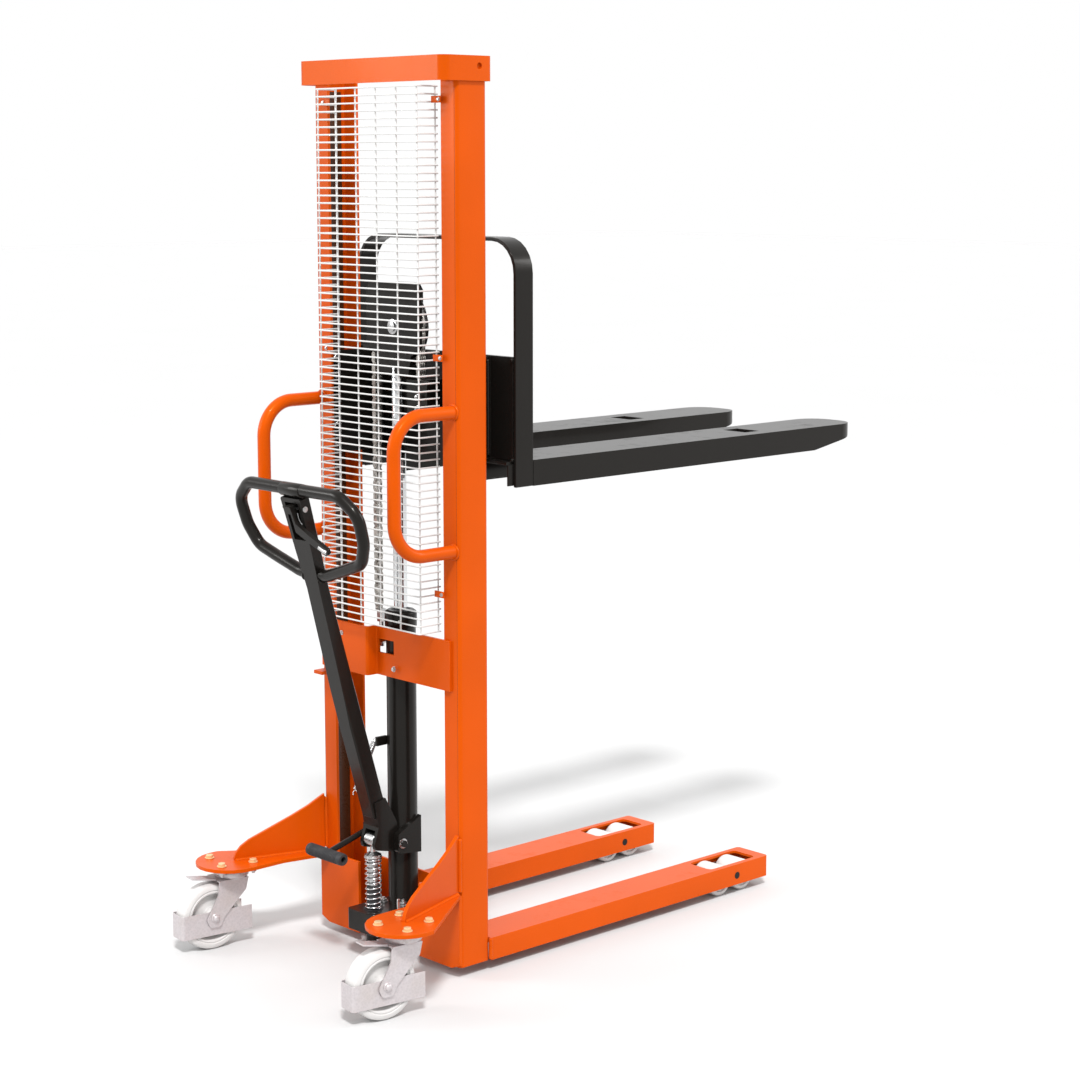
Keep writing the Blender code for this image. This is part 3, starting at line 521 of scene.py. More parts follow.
def coil(bm, start, radius, wire, length, turns):
    """A compression spring with closed end turns, along +Z."""
    steps, closed_ends = 28, 1.2
    points = []
    total = int(turns * steps)
    dead = int(closed_ends * steps)
    flat = wire * 2.0 * closed_ends
    for k in range(total + 1):
        if k < dead:
            rise = flat * k / dead
        elif k > total - dead:
            rise = length - flat * (total - k) / dead
        else:
            rise = flat + (length - 2 * flat) * (k - dead) / (total - 2 * dead)
        angle = 2 * math.pi * k / steps
        points.append(Vector(start) + Vector((radius * math.cos(angle), radius * math.sin(angle), rise)))
    pipe(bm, points, wire, steps=10)


def bolt_head(bm, at, axis, across, height, dome=0.0, turn=0.0):
    """A hexagon head on a washer, standing on the point, with the rounded end of its bolt as dome."""
    at, axis = Vector(at), Vector(axis).normalized()
    base = at + axis * across * 0.12
    top = base + axis * height
    rod(bm, at, base, across * 0.71875, 28, across * 0.03)
    corner = across / math.sqrt(3)
    made = bmesh.ops.create_cone(
        bm, cap_ends=True, segments=6, radius1=corner, radius2=corner, depth=height,
        matrix=facing((base + top) / 2, axis) @ Matrix.Rotation(turn, 4, "Z"))
    ease(bm, edges_of(made), across * 0.06)
    if dome:
        rod(bm, top - axis * 0.0004, top + axis * dome, across * 0.27, 20, across * 0.03)


class Maker(bpy.types.Operator):
    """Shared by the operators below: each runs build, and an error in it stops the script"""
    bl_options = {"REGISTER", "UNDO"}

    def execute(self, context):
        self.build()
        return {"FINISHED"}


# Mast and base ------------------------------------------------------------------------------
class STACKER_OT_mast(Maker):
    """Painted posts, cross-head, mid member, legs and base plates"""
    bl_idname = "stacker.mast"
    bl_label = "Mast and base"

    def build(self):
        for node in ("top_cross_head", "mid_cross_member", "straddle_leg_left", "straddle_leg_right",
                     "base_cross_plate", "castor_wing_left", "castor_wing_right"):
            softened(node, "chassis", "orange")
        for side, sign in SIDES:
            softened(f"mast_post_{side}", "chassis", "orange", fold=0.0075)
            # A thin near-black sheet laid inside each post's channel: painted shade where the hollow of the
            # channel falls dark.
            inner, outer = sorted((sign * 0.2290, sign * 0.2296))
            bm = bmesh.new()
            block(bm, (inner, MAST_Y - 0.036, 0.200), (outer, MAST_Y + 0.033, 1.895), 0.0)
            finished(bm, f"channel_shade_sheet_{side}", "chassis", "painted_shade")
        self.leg_trim()
        self.head_trim()
        self.member_trim()

    def leg_trim(self):
        """End caps of the bogie pins on both flanks of each leg."""
        for side, sign in SIDES:
            outer, _ = outer_and_inner(f"straddle_leg_{side}", sign)
            hub = axis_of(f"bogie_{side}_rock")[0]
            bm = bmesh.new()
            for face, out in ((outer, sign), (hub.x * 2 - outer, -sign)):
                at = Vector((face - out * 0.0002, hub.y, hub.z))
                rod(bm, at, at + X * out * 0.0004, 0.0085, 28)
            finished(bm, f"leg_axle_caps_{side}", "chassis", "black")

    def head_trim(self):
        """Two small bolts that hold the cross-head to the posts."""
        half = (high("top_cross_head").x - low("top_cross_head").x) / 2
        bm = bmesh.new()
        for _, sign in SIDES:
            face = sign * half
            for fore, z in ((0.030, 1.922), (-0.035, 1.943)):
                at = Vector((face - sign * 0.0022, MAST_Y + fore, z))
                rod(bm, at, at + X * sign * 0.0021, 0.0042, 20, 0.0004)
        finished(bm, "cross_head_rivets", "chassis", "orange")

    def member_trim(self):
        """The mid member's fixing bolt and the small stop on its top edge."""
        edge, web = low("mid_cross_member").y, MAST_Y - 0.0503
        bm = bmesh.new()
        bolt_head(bm, (0.036, web, 0.655), -Y, 0.0085, 0.0035)
        bolt_head(bm, (-0.120, edge + 0.0002, 0.716), -Y, 0.0075, 0.0030)
        finished(bm, "mid_member_bolts", "chassis", "steel")


class STACKER_OT_welds(Maker):
    """Weld beads where the painted steel parts meet"""
    bl_idname = "stacker.welds"
    bl_label = "Weld beads"

    def build(self):
        for side, sign in SIDES:
            self.wing(side, sign)
            self.handle(side, sign)
            self.base(side, sign)
            self.carriage(side, sign)

    def wing(self, side, sign):
        """Beads along the wing's rib and up its end on the post."""
        angle = math.radians(18)
        direction = Vector((sign * math.sin(angle), -math.cos(angle), 0))
        across = Vector((direction.y, -direction.x, 0))
        start = Vector((sign * 0.2315, POST_REAR - 0.005, PAD_TOP))
        bm = bmesh.new()
        for k in (-1, 1):
            foot = start + across * k * 0.0052
            bead(bm, [foot + direction * 0.004, foot + direction * 0.214], sizes().bead)
            bead(bm, [(foot.x, POST_REAR - 0.0012, z) for z in (0.196, 0.314)], sizes().bead)
        finished(bm, f"wing_welds_{side}", "chassis", "orange")

    def handle(self, side, sign):
        bm = bmesh.new()
        for z in (0.934, 1.229):
            weld_ring(bm, Vector((sign * 0.2215, POST_REAR - 0.0012, z)), X, -Z, 0.0150, sizes().bead * 0.9)
        finished(bm, f"handle_welds_{side}", "chassis", "orange")

    def base(self, side, sign):
        """Beads from leg to post, and three tack welds up the post."""
        leg_low, leg_high = low(f"straddle_leg_{side}"), high(f"straddle_leg_{side}")
        outer, inner = outer_and_inner(f"straddle_leg_{side}", sign)
        joint_y = leg_low.y + 0.0006
        bm = bmesh.new()
        bead(bm, [(outer - sign * 0.0020, joint_y - 0.001, leg_low.z + 0.003),
                  (outer - sign * 0.0020, joint_y - 0.001, leg_high.z - 0.001)], sizes().bead * 1.1)
        bead(bm, [(inner + sign * 0.006, joint_y, leg_high.z + 0.0004),
                  (sign * 0.186, joint_y, leg_high.z + 0.0004)], sizes().bead * 0.8)
        x = outer_and_inner(f"mast_post_{side}", sign)[0] - sign * 0.0026
        for z in (0.345, 0.470, 0.655):
            bmesh.ops.create_icosphere(bm, subdivisions=2, radius=0.0030, matrix=Matrix.Translation(
                (x, POST_REAR + 0.010, z)) @ Matrix.Diagonal((1, 1.3, 0.8, 1)))
        finished(bm, f"base_welds_{side}", "chassis", "orange")

    def carriage(self, side, sign):
        """Beads where the backrest meets the fork, the plates and the roller brackets."""
        hoop_low, hoop_high = low("load_backrest"), high("load_backrest")
        bm = bmesh.new()
        bead(bm, [(sign * 0.2552, y, 1.0645) for y in (hoop_low.y + 0.006, hoop_high.y - 0.004)],
             sizes().bead)
        for z in (1.120, 1.332):
            bead(bm, [(sign * 0.2548, MAST_Y + y, z) for y in (0.1037, 0.0955)], sizes().bead * 0.8)
        for k in (-1, 1):
            x = sign * 0.178 + k * 0.0068
            bead(bm, [(x, MAST_Y + 0.0935, z) for z in (1.125, 1.330)], sizes().bead * 0.9)
        finished(bm, f"carriage_welds_{side}", "carriage", "black")


class STACKER_OT_guard(Maker):
    """The mast guard: a folded grid of welded wires"""
    bl_idname = "stacker.guard"
    bl_label = "Mesh guard"

    def build(self):
        wire = sizes().wire / 2
        half, fold = 0.1675, 0.006
        rear, front = low("mesh_guard").y + wire, MAST_Y - 0.028
        bottom, top = 0.756, high("mesh_guard").z - wire
        path = rounded([(-half, front, 0), (-half, rear, 0), (half, rear, 0), (half, front, 0)],
                       [0, fold, fold, 0], 4)
        bm = bmesh.new()
        rows = int((top - bottom) / sizes().wire_pitch)
        for k in range(rows + 1):
            z = bottom + (top - bottom) * k / rows
            pipe(bm, [p + Z * z for p in path], wire, steps=8)
        finished(bm, "guard_cross_wires", "chassis", "wire", ("mesh_guard",), smooth=60)
        bm = bmesh.new()
        gap = 2 * half / 5
        inside = wire * 1.7
        uprights = [(-half + gap * k, rear + inside) for k in range(1, 5)]
        uprights += [(k * (half - inside), y) for y in (rear + 0.005, front - 0.004) for k in (-1, 1)]
        for x, y in uprights:
            rod(bm, (x, y, bottom - wire), (x, y, top + wire), wire, 10, 0.0004)
        finished(bm, "guard_upright_wires", "chassis", "wire", smooth=60)
        tabs, screws = bmesh.new(), bmesh.new()
        rear = MAST_Y - 0.0464
        for _, sign in SIDES:
            inner, outer = sorted((sign * 0.1690, sign * 0.1990))
            for z in (0.840, 1.340, 1.870):
                block(tabs, (inner, rear, z - 0.007), (outer, rear + 0.0018, z + 0.007), 0.0006)
                bolt_head(screws, (sign * 0.192, rear, z), -Y, 0.0060, 0.0022)
        finished(tabs, "guard_tabs", "chassis", "orange")
        finished(screws, "guard_screws", "chassis", "steel")


class STACKER_OT_handles(Maker):
    """The two grab handles, bent from round tube"""
    bl_idname = "stacker.handles"
    bl_label = "Grab handles"

    def build(self):
        for side, _ in SIDES:
            lowest, highest = low(f"grab_handle_{side}"), high(f"grab_handle_{side}")
            radius = (highest.x - lowest.x) / 2
            x, rear, front = (lowest.x + highest.x) / 2, lowest.y + radius, highest.y
            path = rounded([(x, front, highest.z - radius), (x, rear, highest.z - radius),
                            (x, rear, lowest.z + radius), (x, front, lowest.z + radius)],
                           [0, 0.075, 0.075, 0], 16)
            bm = bmesh.new()
            pipe(bm, path, radius, steps=32)
            finished(bm, f"grab_tube_{side}", "chassis", "orange", (f"grab_handle_{side}",))


# Lift ---------------------------------------------------------------------------------------
class STACKER_OT_lift(Maker):
    """Lift cylinder, rod, head, sheave and leaf chain"""
    bl_idname = "stacker.lift"
    bl_label = "Lift"

    def build(self):
        lowest, highest = low("lift_cylinder"), high("lift_cylinder")
        radius, bore, rod_radius = 0.033, 0.0153, 0.015
        gland = highest.z - 0.042
        bm = bmesh.new()
        turned(bm, [(bore, lowest.z + 0.009), (bore, highest.z), (radius - 0.004, highest.z),
                    (radius + 0.0012, highest.z - 0.004), (radius + 0.0025, highest.z - 0.008),
                    (radius + 0.0025, gland + 0.006), (radius + 0.0008, gland + 0.003),
                    (radius, gland), (radius, lowest.z + 0.012), (radius + 0.0016, lowest.z + 0.0095),
                    (radius + 0.0016, lowest.z + 0.0055), (radius - 0.0008, lowest.z),
                    (0.0, lowest.z), (0.0, lowest.z + 0.009)], (0, MAST_Y, 0), Z)
        block(bm, (-0.0335, MAST_Y - 0.0495, 0.4705), (-0.0265, MAST_Y - 0.020, 0.4915), 0.0015)
        finished(bm, "cylinder_barrel", "chassis", "black", ("lift_cylinder",))
        wiper = [(0.0004, -0.0030), (0.0006, 0.0002), (0.0020, 0.0007), (0.0058, 0.0005), (0.0068, -0.0030)]
        turned_piece("rod_wiper", "chassis", "rubber",
                     [(rod_radius + r, highest.z + h) for r, h in wiper], (0, MAST_Y, 0), Z)
        bm = bmesh.new()
        for k in range(4):
            turn = Matrix.Rotation(math.pi / 4 + k * math.pi / 2, 4, "Z")
            spot = turn @ Vector((radius + 0.0023, 0, 0)) + Vector((0, MAST_Y, highest.z - 0.022))
            rod(bm, spot, spot + turn @ Vector((0.0008, 0, 0)), 0.0035, 20, 0.0003)
        finished(bm, "gland_pin_holes", "chassis", "steel")
        bm = bmesh.new()
        base, top = low("piston_rod").z, high("piston_rod").z
        rod(bm, (0, MAST_Y, base), (0, MAST_Y, top), rod_radius, 64, 0.0008)
        finished(bm, "piston_rod_chromed", "piston", "chrome", ("piston_rod",))
        softened("lift_head", "piston", "black", 0.0010)
        self.sheave()
        self.chain()

    def sheave(self):
        centre = axis_of("sheave_spin")[0]
        half = [(0.0103, 0.0125), (0.024, 0.0125), (0.026, 0.0105), (0.058, 0.0085), (0.064, 0.0125),
                (0.078, 0.0125), (0.080, 0.0117), (0.080, 0.0110), (0.0675, 0.0102)]
        turned_piece("sheave_turned", "sheave", "steel", mirrored(half), centre, Y,
                     stands_for=("chain_sheave",))
        bm = bmesh.new()
        for side in (-1, 1):
            face = centre + Y * side * 0.0222
            rod(bm, face, face + Y * side * 0.0016, 0.0165, 36, 0.0005)
            rod(bm, face + Y * side * 0.0045, face + Y * side * 0.0052, 0.0112, 28, 0.0003)
        finished(bm, "sheave_axle_washers", "piston", "steel")

    @staticmethod
    def rows(k):
        """Where the plates of link k stand, in turn four and three across."""
        return (-0.0072, -0.0024, 0.0024, 0.0072) if k % 2 else (-0.0048, 0.0, 0.0048)

    def links(self, bm, x, lowest, highest):
        """Plates and pins of one straight strand."""
        pitch = (highest - lowest) / max(1, round((highest - lowest) / sizes().chain_pitch))
        count = round((highest - lowest) / pitch)
        for k in range(count):
            z = lowest + pitch * k
            for y in self.rows(k):
                flat = Matrix.Rotation(-math.pi / 2, 4, "X")
                made = bmesh.ops.create_circle(bm, cap_ends=True, segments=14, radius=0.0058,
                                               matrix=Matrix.Translation((x, MAST_Y + y - 0.0010, z)) @ flat)
                upper = [v for v in made["verts"] if v.co.z > z]
                bmesh.ops.translate(bm, verts=upper, vec=(0, 0, pitch))
                face = made["verts"][0].link_faces[0]
                grown = bmesh.ops.extrude_face_region(bm, geom=[face], use_keep_orig=True)
                moved = [g for g in grown["geom"] if isinstance(g, bmesh.types.BMVert)]
                bmesh.ops.translate(bm, verts=moved, vec=(0, 0.0021, 0))
        for k in range(count + 1):
            z = lowest + pitch * k
            rod(bm, (x, MAST_Y - 0.0088, z), (x, MAST_Y + 0.0088, z), 0.0024, 12)

    def chain(self):
        top = axis_of("sheave_spin")[0].z
        for node, body, other in (("chain_fixed_strand", "chassis", "piston"),
                                  ("chain_carriage_strand", "piston", "carriage")):
            x, bottom = middle(node).x, low(node).z
            bm = bmesh.new()
            self.links(bm, x, bottom, top)
            strand = finished(bm, f"{node}_links", None, "chain", (node,))
            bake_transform(strand)
        self.bend(Vector((0, MAST_Y, top)), 0.0743, 18)
        for node, body in (("chain_anchor_fixed", "chassis"), ("chain_anchor_carriage", "carriage")):
            softened(node, body, "steel", 0.0006, f"{node}_bolt")

    def bend(self, centre, radius, count):
        """The links over the sheave, which ride with the piston."""
        bm = bmesh.new()
        corners = [centre + Vector((math.cos(a), 0, math.sin(a))) * radius
                   for a in (math.pi * k / count for k in range(count + 1))]
        for k, (first, second) in enumerate(zip(corners, corners[1:])):
            along = second - first
            for y in self.rows(k):
                place = facing(first + Y * y, along)
                block(bm, (-0.0058, -0.0010, -0.0050), (0.0058, 0.0010, along.length + 0.0050), 0.0,
                      place @ self.flat(place))
            rod(bm, first - Y * 0.0088, first + Y * 0.0088, 0.0024, 12)
        finished(bm, "chain_over_sheave", "piston", "chain")

    @staticmethod
    def flat(place):
        """A turn about the link's own length that lays its plates across the sheave's axis."""
        side = place.to_3x3().inverted() @ Y
        return Matrix.Rotation(math.atan2(side.y, side.x) - math.pi / 2, 4, "Z")


class STACKER_OT_carriage(Maker):
    """Fork carriage, backrest, forks and mast rollers"""
    bl_idname = "stacker.carriage"
    bl_label = "Carriage"

    def build(self):
        softened("carriage_frame", "carriage", "black", 0.0010)
        softened("load_backrest", "carriage", "black", 0.0014)
        for side, _ in SIDES:
            softened(f"fork_{side}", "carriage", "black", 0.0016)
            self.fork_lining(side)
            for level in ("lower", "upper"):
                self.roller(f"mast_roller_{side}_{level}")
        bm = bmesh.new()
        for z in (1.228, 1.252):
            bolt_head(bm, (0.105, MAST_Y - 0.0345, z), -Y, 0.0095, 0.0045, dome=0.002)
        finished(bm, "chain_anchor_screws", "carriage", "steel")

    def fork_lining(self, side):
        """The folded reinforcing channel under each fork's heel."""
        lowest, highest = low(f"fork_{side}"), high(f"fork_{side}")
        x = (lowest.x + highest.x) / 2
        bm = bmesh.new()
        for k in (-1, 1):
            block(bm, (x + k * 0.0630 - 0.0020, lowest.y + 0.004, lowest.z + 0.004),
                  (x + k * 0.0630 + 0.0020, lowest.y + 0.290, highest.z - 0.0072), 0.0008)
        finished(bm, f"fork_stiffeners_{side}", "carriage", "black")

    def roller(self, node):
        wide = (high(node).x - low(node).x) / 2
        half = [(0.0123, wide), (0.0190, wide), (0.0195, wide - 0.0012), (0.0275, wide - 0.0012),
                (0.0280, wide), (0.0330, wide), (0.0345, wide - 0.0018), (0.0347, wide - 0.005)]
        turned_piece(f"{node}_turned", node, "steel", mirrored(half), axis_of(f"{node}_spin")[0], X,
                     stands_for=(node,))


# Pump and tiller ----------------------------------------------------------------------------
class STACKER_OT_pump(Maker):
    """Pump block, plunger, spring, release valve and pivot bracket"""
    bl_idname = "stacker.pump"
    bl_label = "Pump"

    def build(self):
        softened("pump_body", "chassis", "black", 0.0016)
        softened("pivot_bracket", "chassis", "black", 0.0012)
        y = middle("pump_plunger").y
        foot, top = low("pump_plunger").z, high("pump_plunger").z
        cap_low = 0.2320
        block_top = high("pump_body").z
        cap = [(0.0195, 0.0), (0.0198, 0.0008), (0.0198, 0.0026), (0.0192, 0.0032), (0.0180, 0.0034),
               (0.0180, 0.0042), (0.0186, 0.0048), (0.0186, 0.0066), (0.0160, 0.0072), (0.0105, 0.0110),
               (0.0062, 0.0130)]
        profile = [(0.0, foot), (0.0110, foot), (0.0110, cap_low), *((r, cap_low + h) for r, h in cap),
                   (0.0060, top - 0.0008), (0.0052, top), (0.0, top)]
        turned_piece("plunger_turned", "plunger", "steel", profile, (0, y, 0), Z, 48, ("pump_plunger",))
        wire = 0.0019
        foot, top = low("pump_spring").z, high("pump_spring").z
        bm = bmesh.new()
        coil(bm, (0, y, foot + wire), 0.0168, wire, top - foot - 2 * wire, 11.5)
        spring = finished(bm, "pump_spring_coil", None, "spring", ("pump_spring",), smooth=60)
        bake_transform(spring)
        bm = bmesh.new()
        turned(bm, [(0.0114, block_top), (0.0148, block_top), (0.0148, block_top + 0.052),
                    (0.0142, block_top + 0.0535), (0.0114, block_top + 0.0535)], (0, y, 0), Z, 40)
        turned(bm, [(0.0149, block_top), (0.0215, block_top), (0.0215, block_top + 0.0008),
                    (0.0205, block_top + 0.0002), (0.0149, block_top + 0.0002)], (0, y, 0), Z, 40)
        finished(bm, "plunger_sleeve", "chassis", "rubber")
        self.valve()
        bm = bmesh.new()
        for sign in (-1, 1):
            pin = PIVOT + X * sign * 0.0500
            rod(bm, pin - X * sign * 0.0068, pin - X * sign * 0.0048, 0.0112, 32, 0.0004)
            rod(bm, pin - X * sign * 0.0030 - Y * 0.010, pin - X * sign * 0.0030 + Y * 0.010, 0.0012, 12)
        finished(bm, "pivot_pin_washers", "chassis", "steel")

    def valve(self):
        """Release valve: hexagon fittings, the turning arm and its link to the pull rod."""
        centre = axis_of("release_valve_turn")[0]
        top = high("pump_body").z
        bm = bmesh.new()
        for x, fore, tall in ((0.028, 0.046, 0.010), (-0.026, 0.034, 0.007)):
            at = Vector((x, centre.y + fore, top - 0.0002))
            bolt_head(bm, at, Z, 0.0150, tall * 0.7, dome=tall * 0.5)
        bolt_head(bm, (high("pump_body").x - 0.0205, centre.y + 0.050, 0.092), X, 0.0125, 0.006)
        finished(bm, "valve_fittings", "chassis", "steel")
        arm_low, arm_high = low("release_lever"), high("release_lever")
        x = (arm_low.x + arm_high.x) / 2
        bm = bmesh.new()
        rod(bm, (arm_low.x, centre.y, centre.z), (arm_high.x, centre.y, centre.z), 0.0080, 36, 0.0005)
        block(bm, (x - 0.0018, centre.y - 0.0040, centre.z + 0.004),
              (x + 0.0018, centre.y + 0.0040, arm_high.z - 0.0035), 0.0007)
        rod(bm, (x - 0.0018, centre.y, arm_high.z - 0.0042), (x + 0.0018, centre.y, arm_high.z - 0.0042),
            0.0040, 24, 0.0005)
        rod(bm, (arm_high.x - 0.0004, centre.y, centre.z), (arm_high.x + 0.0014, centre.y, centre.z),
            0.0040, 6, 0.0004)
        finished(bm, "release_arm", "release", "steel", ("release_lever",))


class STACKER_OT_tiller(Maker):
    """Tiller base, arm, loop handle, control lever and foot pedal"""
    bl_idname = "stacker.tiller"
    bl_label = "Tiller"

    def build(self):
        softened("tiller_base", "tiller", "black", 0.0014)
        softened("tiller_arm", "tiller", "black", 0.0020)
        self.loop()
        self.lever()
        self.pedal()
        self.return_spring()
        wide = (high("nose_roller").x - low("nose_roller").x) / 2
        turned_piece("nose_roller_turned", "nose", "steel",
                     mirrored([(0.0053, wide), (0.0130, wide), (0.0140, wide - 0.001)]),
                     axis_of("nose_roller_spin")[0], X, 40, ("nose_roller",))

    def loop(self):
        through, radius = -0.0177, 0.0130
        half = [(0.155, 0.846), (0.204, 0.806), (0.200, 0.745), (0.176, 0.698), (0.120, 0.678),
                (0.045, 0.653)]
        ring = half + [(-x, z) for x, z in reversed(half)]
        points = [on_tiller(x, through, z) for x, z in ring]
        bend = [0.045, 0.045, 0.05, 0.04, 0.05, 0.05]
        bm = bmesh.new()
        pipe(bm, rounded(points, bend + bend[::-1], 10, closed=True), radius, closed=True, steps=28)
        finished(bm, "loop_tube", "tiller", "black", ("tiller_loop",))
        # Weld rings where the bar meets the arm.
        bm = bmesh.new()
        for sign in (-1, 1):
            turn = LEAN.to_3x3() @ Matrix.Rotation(-sign * 0.30, 3, "Y")
            weld_ring(bm, on_tiller(sign * 0.0265, through, 0.6495), turn @ Y, turn @ Z, radius + 0.0004,
                      sizes().bead * 0.8, 8, 0.88)
        finished(bm, "loop_welds", "tiller", "black")
        # Sleeve that carries the arm's end onto the bar.
        bm = bmesh.new()
        rod(bm, on_tiller(-0.0345, through, 0.8445), on_tiller(0.0345, through, 0.8445), 0.0148, 40, 0.0013)
        finished(bm, "arm_head_barrel", "tiller", "black")

    def lever(self):
        softened("control_lever", "lever", "black", 0.0007)
        centre = axis_of("control_lever_pull")[0]
        bm = bmesh.new()
        rod(bm, centre - X * 0.0395, centre + X * 0.0395, 0.0033, 24, 0.0004)
        for sign in (-1, 1):
            rod(bm, centre + X * sign * 0.0348, centre + X * sign * 0.0362, 0.0062, 28, 0.0003)
        finished(bm, "lever_cross_pin", "tiller", "steel")
        # Bright rubbed tip of the finger lever.
        bm = bmesh.new()
        path = [on_tiller(x, t, z) for x, t, z in ((0.078, -0.0408, 0.7335), (0.092, -0.0412, 0.7262),
                                                   (0.1035, -0.0420, 0.7245))]
        pipe(bm, path, 0.0064, steps=18)
        finished(bm, "lever_tip", "lever", "steel")
        # Wire clip that holds the pull rod under the pin.
        bm = bmesh.new()
        clip = [(-0.006, 0.793), (-0.0075, 0.780), (-0.004, 0.768), (0.003, 0.764), (0.0065, 0.752),
                (0.002, 0.745), (-0.003, 0.748)]
        pipe(bm, rounded([on_tiller(x, -0.0165, z) for x, z in clip], 0.003, 5), 0.0011, steps=10)
        rod(bm, on_tiller(0.0, -0.0165, 0.750), on_tiller(0.0, -0.0165, 0.737), 0.0020, 16)
        finished(bm, "pull_rod_clip", "tiller", "steel")

    def pedal(self):
        softened("foot_pedal", "tiller", "black", 0.0005)
        lowest, highest = low("pedal_grip"), high("pedal_grip")
        centre = (lowest + highest) / 2
        half = (highest.x - lowest.x) / 2
        profile = [(0.0066, -half), (0.0118, -half), (0.0130, -half + 0.0015)]
        ribs, start = 22, -half + 0.010
        pitch = (2 * half - 0.020) / ribs
        profile += [(0.0137, -half + 0.004), (0.0137, start - 0.001)]
        for k in range(ribs):
            x = start + pitch * k
            profile += [(0.0126, x), (0.0126, x + pitch * 0.28), (0.0138, x + pitch * 0.40),
                        (0.0138, x + pitch * 0.88)]
        profile += [(0.0137, half - 0.009), (0.0137, half - 0.004), (0.0130, half - 0.0015),
                    (0.0118, half), (0.0066, half)]
        turned_piece("pedal_grip_ribbed", "tiller", "rubber", profile, centre, X, 48, ("pedal_grip",), 40)

    def return_spring(self):
        """A close-wound spring with a hook at each end."""
        lowest, highest = low("return_spring"), high("return_spring")
        top = Vector((-0.0430, MAST_Y - 0.0440, highest.z - 0.004))
        foot = Vector((-0.0445, MAST_Y - 0.0960, lowest.z + 0.004))
        along = foot - top
        turn = along.to_track_quat("Z", "Y").to_matrix()
        radius, wire = 0.0058, 0.0011
        turns, steps = int(along.length / (2.15 * wire)), 16
        hook = [Vector((radius * math.cos(a), 0, -radius * (1 - math.sin(a))))
                for a in (math.pi * (1.5 - 1.5 * k / 12) for k in range(12))]
        angle, rise = 2 * math.pi / steps, along.length / (turns * steps)
        body = [Vector((radius * math.cos(angle * k), radius * math.sin(angle * k), rise * k))
                for k in range(turns * steps + 1)]
        tail = [Vector((p.x, p.y, along.length - p.z)) for p in reversed(hook)]
        bm = bmesh.new()
        pipe(bm, [top + turn @ p for p in hook + body + tail], wire, steps=7)
        spring = finished(bm, "return_spring_coil", None, "spring", ("return_spring",), smooth=60)
        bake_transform(spring)


# Wheels -------------------------------------------------------------------------------------
class STACKER_OT_castors(Maker):
    """Swivel castors with brake, foot guard and fixing bolts"""
    bl_idname = "stacker.castors"
    bl_label = "Castors"

    def build(self):
        for side, sign in SIDES:
            hub, axle = axis_of(f"castor_wheel_{side}_spin")
            swivel = axis_of(f"castor_{side}_swivel")[0]
            softened(f"castor_plate_{side}", "chassis", "zinc", 0.0009)
            softened(f"castor_fork_{side}", f"castor_{side}", "zinc", 0.0008)
            softened(f"foot_guard_{side}", f"castor_{side}", "zinc", 0.0006)
            softened(f"castor_brake_{side}", f"castor_brake_{side}", "zinc", 0.0007)
            self.wheel(side, hub, axle)
            self.bracket_trim(side, hub, axle, swivel)
            self.pad_bolts(side, sign, swivel)

    def wheel(self, side, hub, axle):
        node = f"castor_wheel_{side}"
        tread, half = 0.075, 0.023
        edge = [(0.0063, 0.0225), (0.0175, 0.0225), (0.0195, 0.0205), (0.0215, 0.0120),
                (0.0240, 0.0100), (0.0450, 0.0085), (0.0480, 0.0100), (0.0530, 0.0195),
                (0.0550, 0.0215), (0.0580, 0.0218), (0.0590, 0.0205), (0.0610, 0.0205),
                (0.0620, half - 0.001), (0.0690, half - 0.0012), (0.0725, half - 0.0035),
                (0.0742, half - 0.0080), (tread, 0.0)]
        profile = edge + [(r, -h) for r, h in reversed(edge[:-1])]
        turned_piece(f"{node}_moulded", node, "nylon", profile, hub, axle, 72, (node,))
        bm = bmesh.new()
        for k in (-1, 1):
            turned(bm, [(0.0066, 0.0222), (0.0130, 0.0222), (0.0135, 0.0228), (0.0130, 0.0234),
                        (0.0070, 0.0234)], hub, axle * k, 40)
        finished(bm, f"{node}_bearings", node, "steel")

    def bracket_trim(self, side, hub, axle, swivel):
        body = f"castor_{side}"
        bm = bmesh.new()
        for k in (-1, 1):
            face = hub + axle * k * 0.0316
            turned(bm, [(0.0, 0.0), (0.0105, 0.0), (0.0108, 0.0012), (0.0098, 0.0022), (0.0078, 0.0024),
                        (0.0072, 0.0058), (0.0050, 0.0078), (0.0, 0.0086)], face, axle * k, 32)
        finished(bm, f"axle_nuts_{side}", body, "zinc")
        base = Vector((swivel.x, swivel.y, 0))
        race = [(0.0322, 0.1712), (0.0378, 0.1700), (0.0392, 0.1655), (0.0380, 0.1605), (0.0340, 0.1590),
                (0.0340, 0.1600), (0.0365, 0.1625), (0.0372, 0.1658), (0.0360, 0.1690), (0.0322, 0.1702)]
        turned_piece(f"swivel_race_{side}", body, "zinc", race, base, Z, 56)
        bm = bmesh.new()
        bolt_head(bm, base + Z * 0.1530, -Z, 0.0170, 0.0075, dome=0.002)
        finished(bm, f"kingpin_nut_{side}", body, "steel")

    def pad_bolts(self, side, sign, swivel):
        """Four hexagon bolts through the pad, with their nuts under the plate."""
        heads, nuts = bmesh.new(), bmesh.new()
        plate_low = low(f"castor_plate_{side}").z
        for k in range(4):
            angle = sign * math.radians(14) + math.pi / 4 + k * math.pi / 2
            spot = Vector((swivel.x + 0.053 * math.cos(angle), swivel.y + 0.053 * math.sin(angle), 0))
            bolt_head(heads, spot + Z * (PAD_TOP + 0.0002), Z, sizes().bolt, 0.0062, turn=0.3 * k)
            bolt_head(nuts, spot + Z * (plate_low - 0.0002), -Z, 0.0130, 0.0060, dome=0.0040)
        finished(heads, f"pad_bolts_{side}", "chassis", "gilt")
        finished(nuts, f"pad_nuts_{side}", "chassis", "zinc")


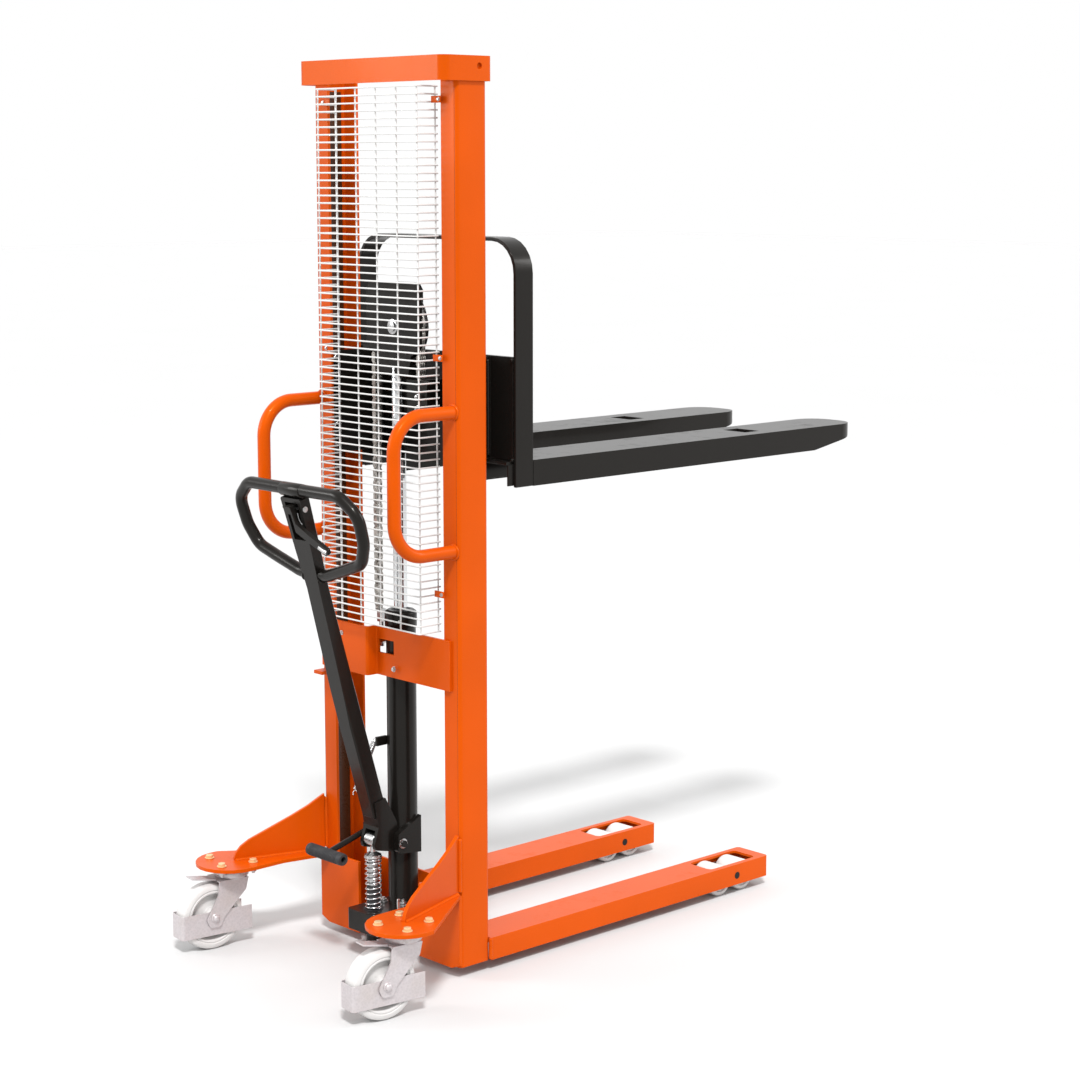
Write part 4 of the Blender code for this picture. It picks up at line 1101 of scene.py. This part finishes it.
class STACKER_OT_load_wheels(Maker):
    """Tandem load rollers in their rocking frames"""
    bl_idname = "stacker.load_wheels"
    bl_label = "Load rollers"

    def build(self):
        for side, _ in SIDES:
            softened(f"roller_bogie_{side}", f"bogie_{side}", "steel", 0.0007)
            bm = bmesh.new()
            for end in ("rear", "front"):
                node = f"load_roller_{side}_{end}"
                centre = axis_of(f"{node}_spin")[0]
                wide = (high(node).x - low(node).x) / 2
                half = [(0.0063, wide - 0.004), (0.0115, wide - 0.004), (0.0120, wide - 0.0005),
                        (0.0175, wide - 0.0005), (0.0180, wide - 0.0035), (0.0260, wide - 0.0035),
                        (0.0270, wide), (0.0335, wide), (0.0358, wide - 0.0016), (0.0370, wide - 0.0045)]
                turned_piece(f"{node}_moulded", node, "nylon", mirrored(half), centre, X, 56, (node,))
                for k in (-1, 1):
                    face = Vector((centre.x + k * 0.0362, centre.y, centre.z))
                    rod(bm, face - X * k * 0.004, face + X * k * 0.0012, 0.0078, 24, 0.0006)
            finished(bm, f"roller_axle_ends_{side}", f"bogie_{side}", "steel")


# Stage --------------------------------------------------------------------------------------
class STACKER_OT_stage(Maker):
    """Pale floor, soft light and the camera"""
    bl_idname = "stacker.stage"
    bl_label = "Stage"

    def build(self):
        bm = bmesh.new()
        bmesh.ops.create_grid(bm, x_segments=1, y_segments=1, size=40.0)
        mesh = bpy.data.meshes.new("studio_floor")
        bm.to_mesh(mesh)
        bm.free()
        floor = placed("studio_floor", mesh)
        mesh.materials.append(studio_floor("pale_floor", tuple(colours().floor)))
        world = bpy.data.worlds.new("studio")
        world.use_nodes = True
        sky = world.node_tree.nodes["Background"]
        sky.inputs["Color"].default_value = (1.0, 1.0, 1.0, 1)
        sky.inputs["Strength"].default_value = 1.0
        bpy.context.scene.world = world
        key = bpy.data.lights.new("key", "SUN")
        key.energy = 3.2
        key.angle = math.radians(9)
        placed("key", key).rotation_euler = Vector((0.66, -0.50, 1.10)).to_track_quat("Z", "Y").to_euler()
        for name, place, size, power in (("strip", (-2.6, -3.4, 2.4), 1.4, 60.0),
                                         ("rim", (2.6, 3.4, 3.2), 1.6, 60.0)):
            lamp = bpy.data.lights.new(name, "AREA")
            lamp.size = size
            lamp.energy = power
            light = placed(name, lamp)
            light.location = place
            light.rotation_euler = (Vector(place) - Vector((0, 0, 0.9))).to_track_quat("Z", "Y").to_euler()
        lens = bpy.data.cameras.new("camera")
        lens.lens = 77.6
        camera = placed("camera", lens)
        camera.location = (3.872, -3.6169, 1.737)
        camera.rotation_euler = (math.radians(80.85), 0, math.radians(46.98))
        bpy.context.scene.camera = camera
        bpy.context.scene.view_settings.view_transform = "Standard"


OPERATORS = (STACKER_OT_stage, STACKER_OT_mast, STACKER_OT_welds, STACKER_OT_guard, STACKER_OT_handles,
             STACKER_OT_lift, STACKER_OT_carriage, STACKER_OT_pump, STACKER_OT_tiller,
             STACKER_OT_castors, STACKER_OT_load_wheels)


class STACKER_PT_panel(bpy.types.Panel):
    """Lists the stacker's pieces"""
    bl_idname = "STACKER_PT_panel"
    bl_label = "Walkie stacker"
    bl_space_type = "VIEW_3D"
    bl_region_type = "UI"
    bl_category = "Stacker"

    def draw(self, context):
        for operator in OPERATORS:
            self.layout.operator(operator.bl_idname)


CLASSES = (StackerSizes, StackerColours, *OPERATORS, STACKER_PT_panel)


def register():
    for cls in CLASSES:
        bpy.utils.register_class(cls)
    bpy.types.Scene.stacker_sizes = PointerProperty(type=StackerSizes)
    bpy.types.Scene.stacker_colours = PointerProperty(type=StackerColours)


def unregister():
    del bpy.types.Scene.stacker_colours
    del bpy.types.Scene.stacker_sizes
    for cls in reversed(CLASSES):
        bpy.utils.unregister_class(cls)


def main():
    register()
    for operator in OPERATORS:
        getattr(bpy.ops.stacker, operator.bl_idname.split(".")[1])()


if __name__ == "__main__":
    main()
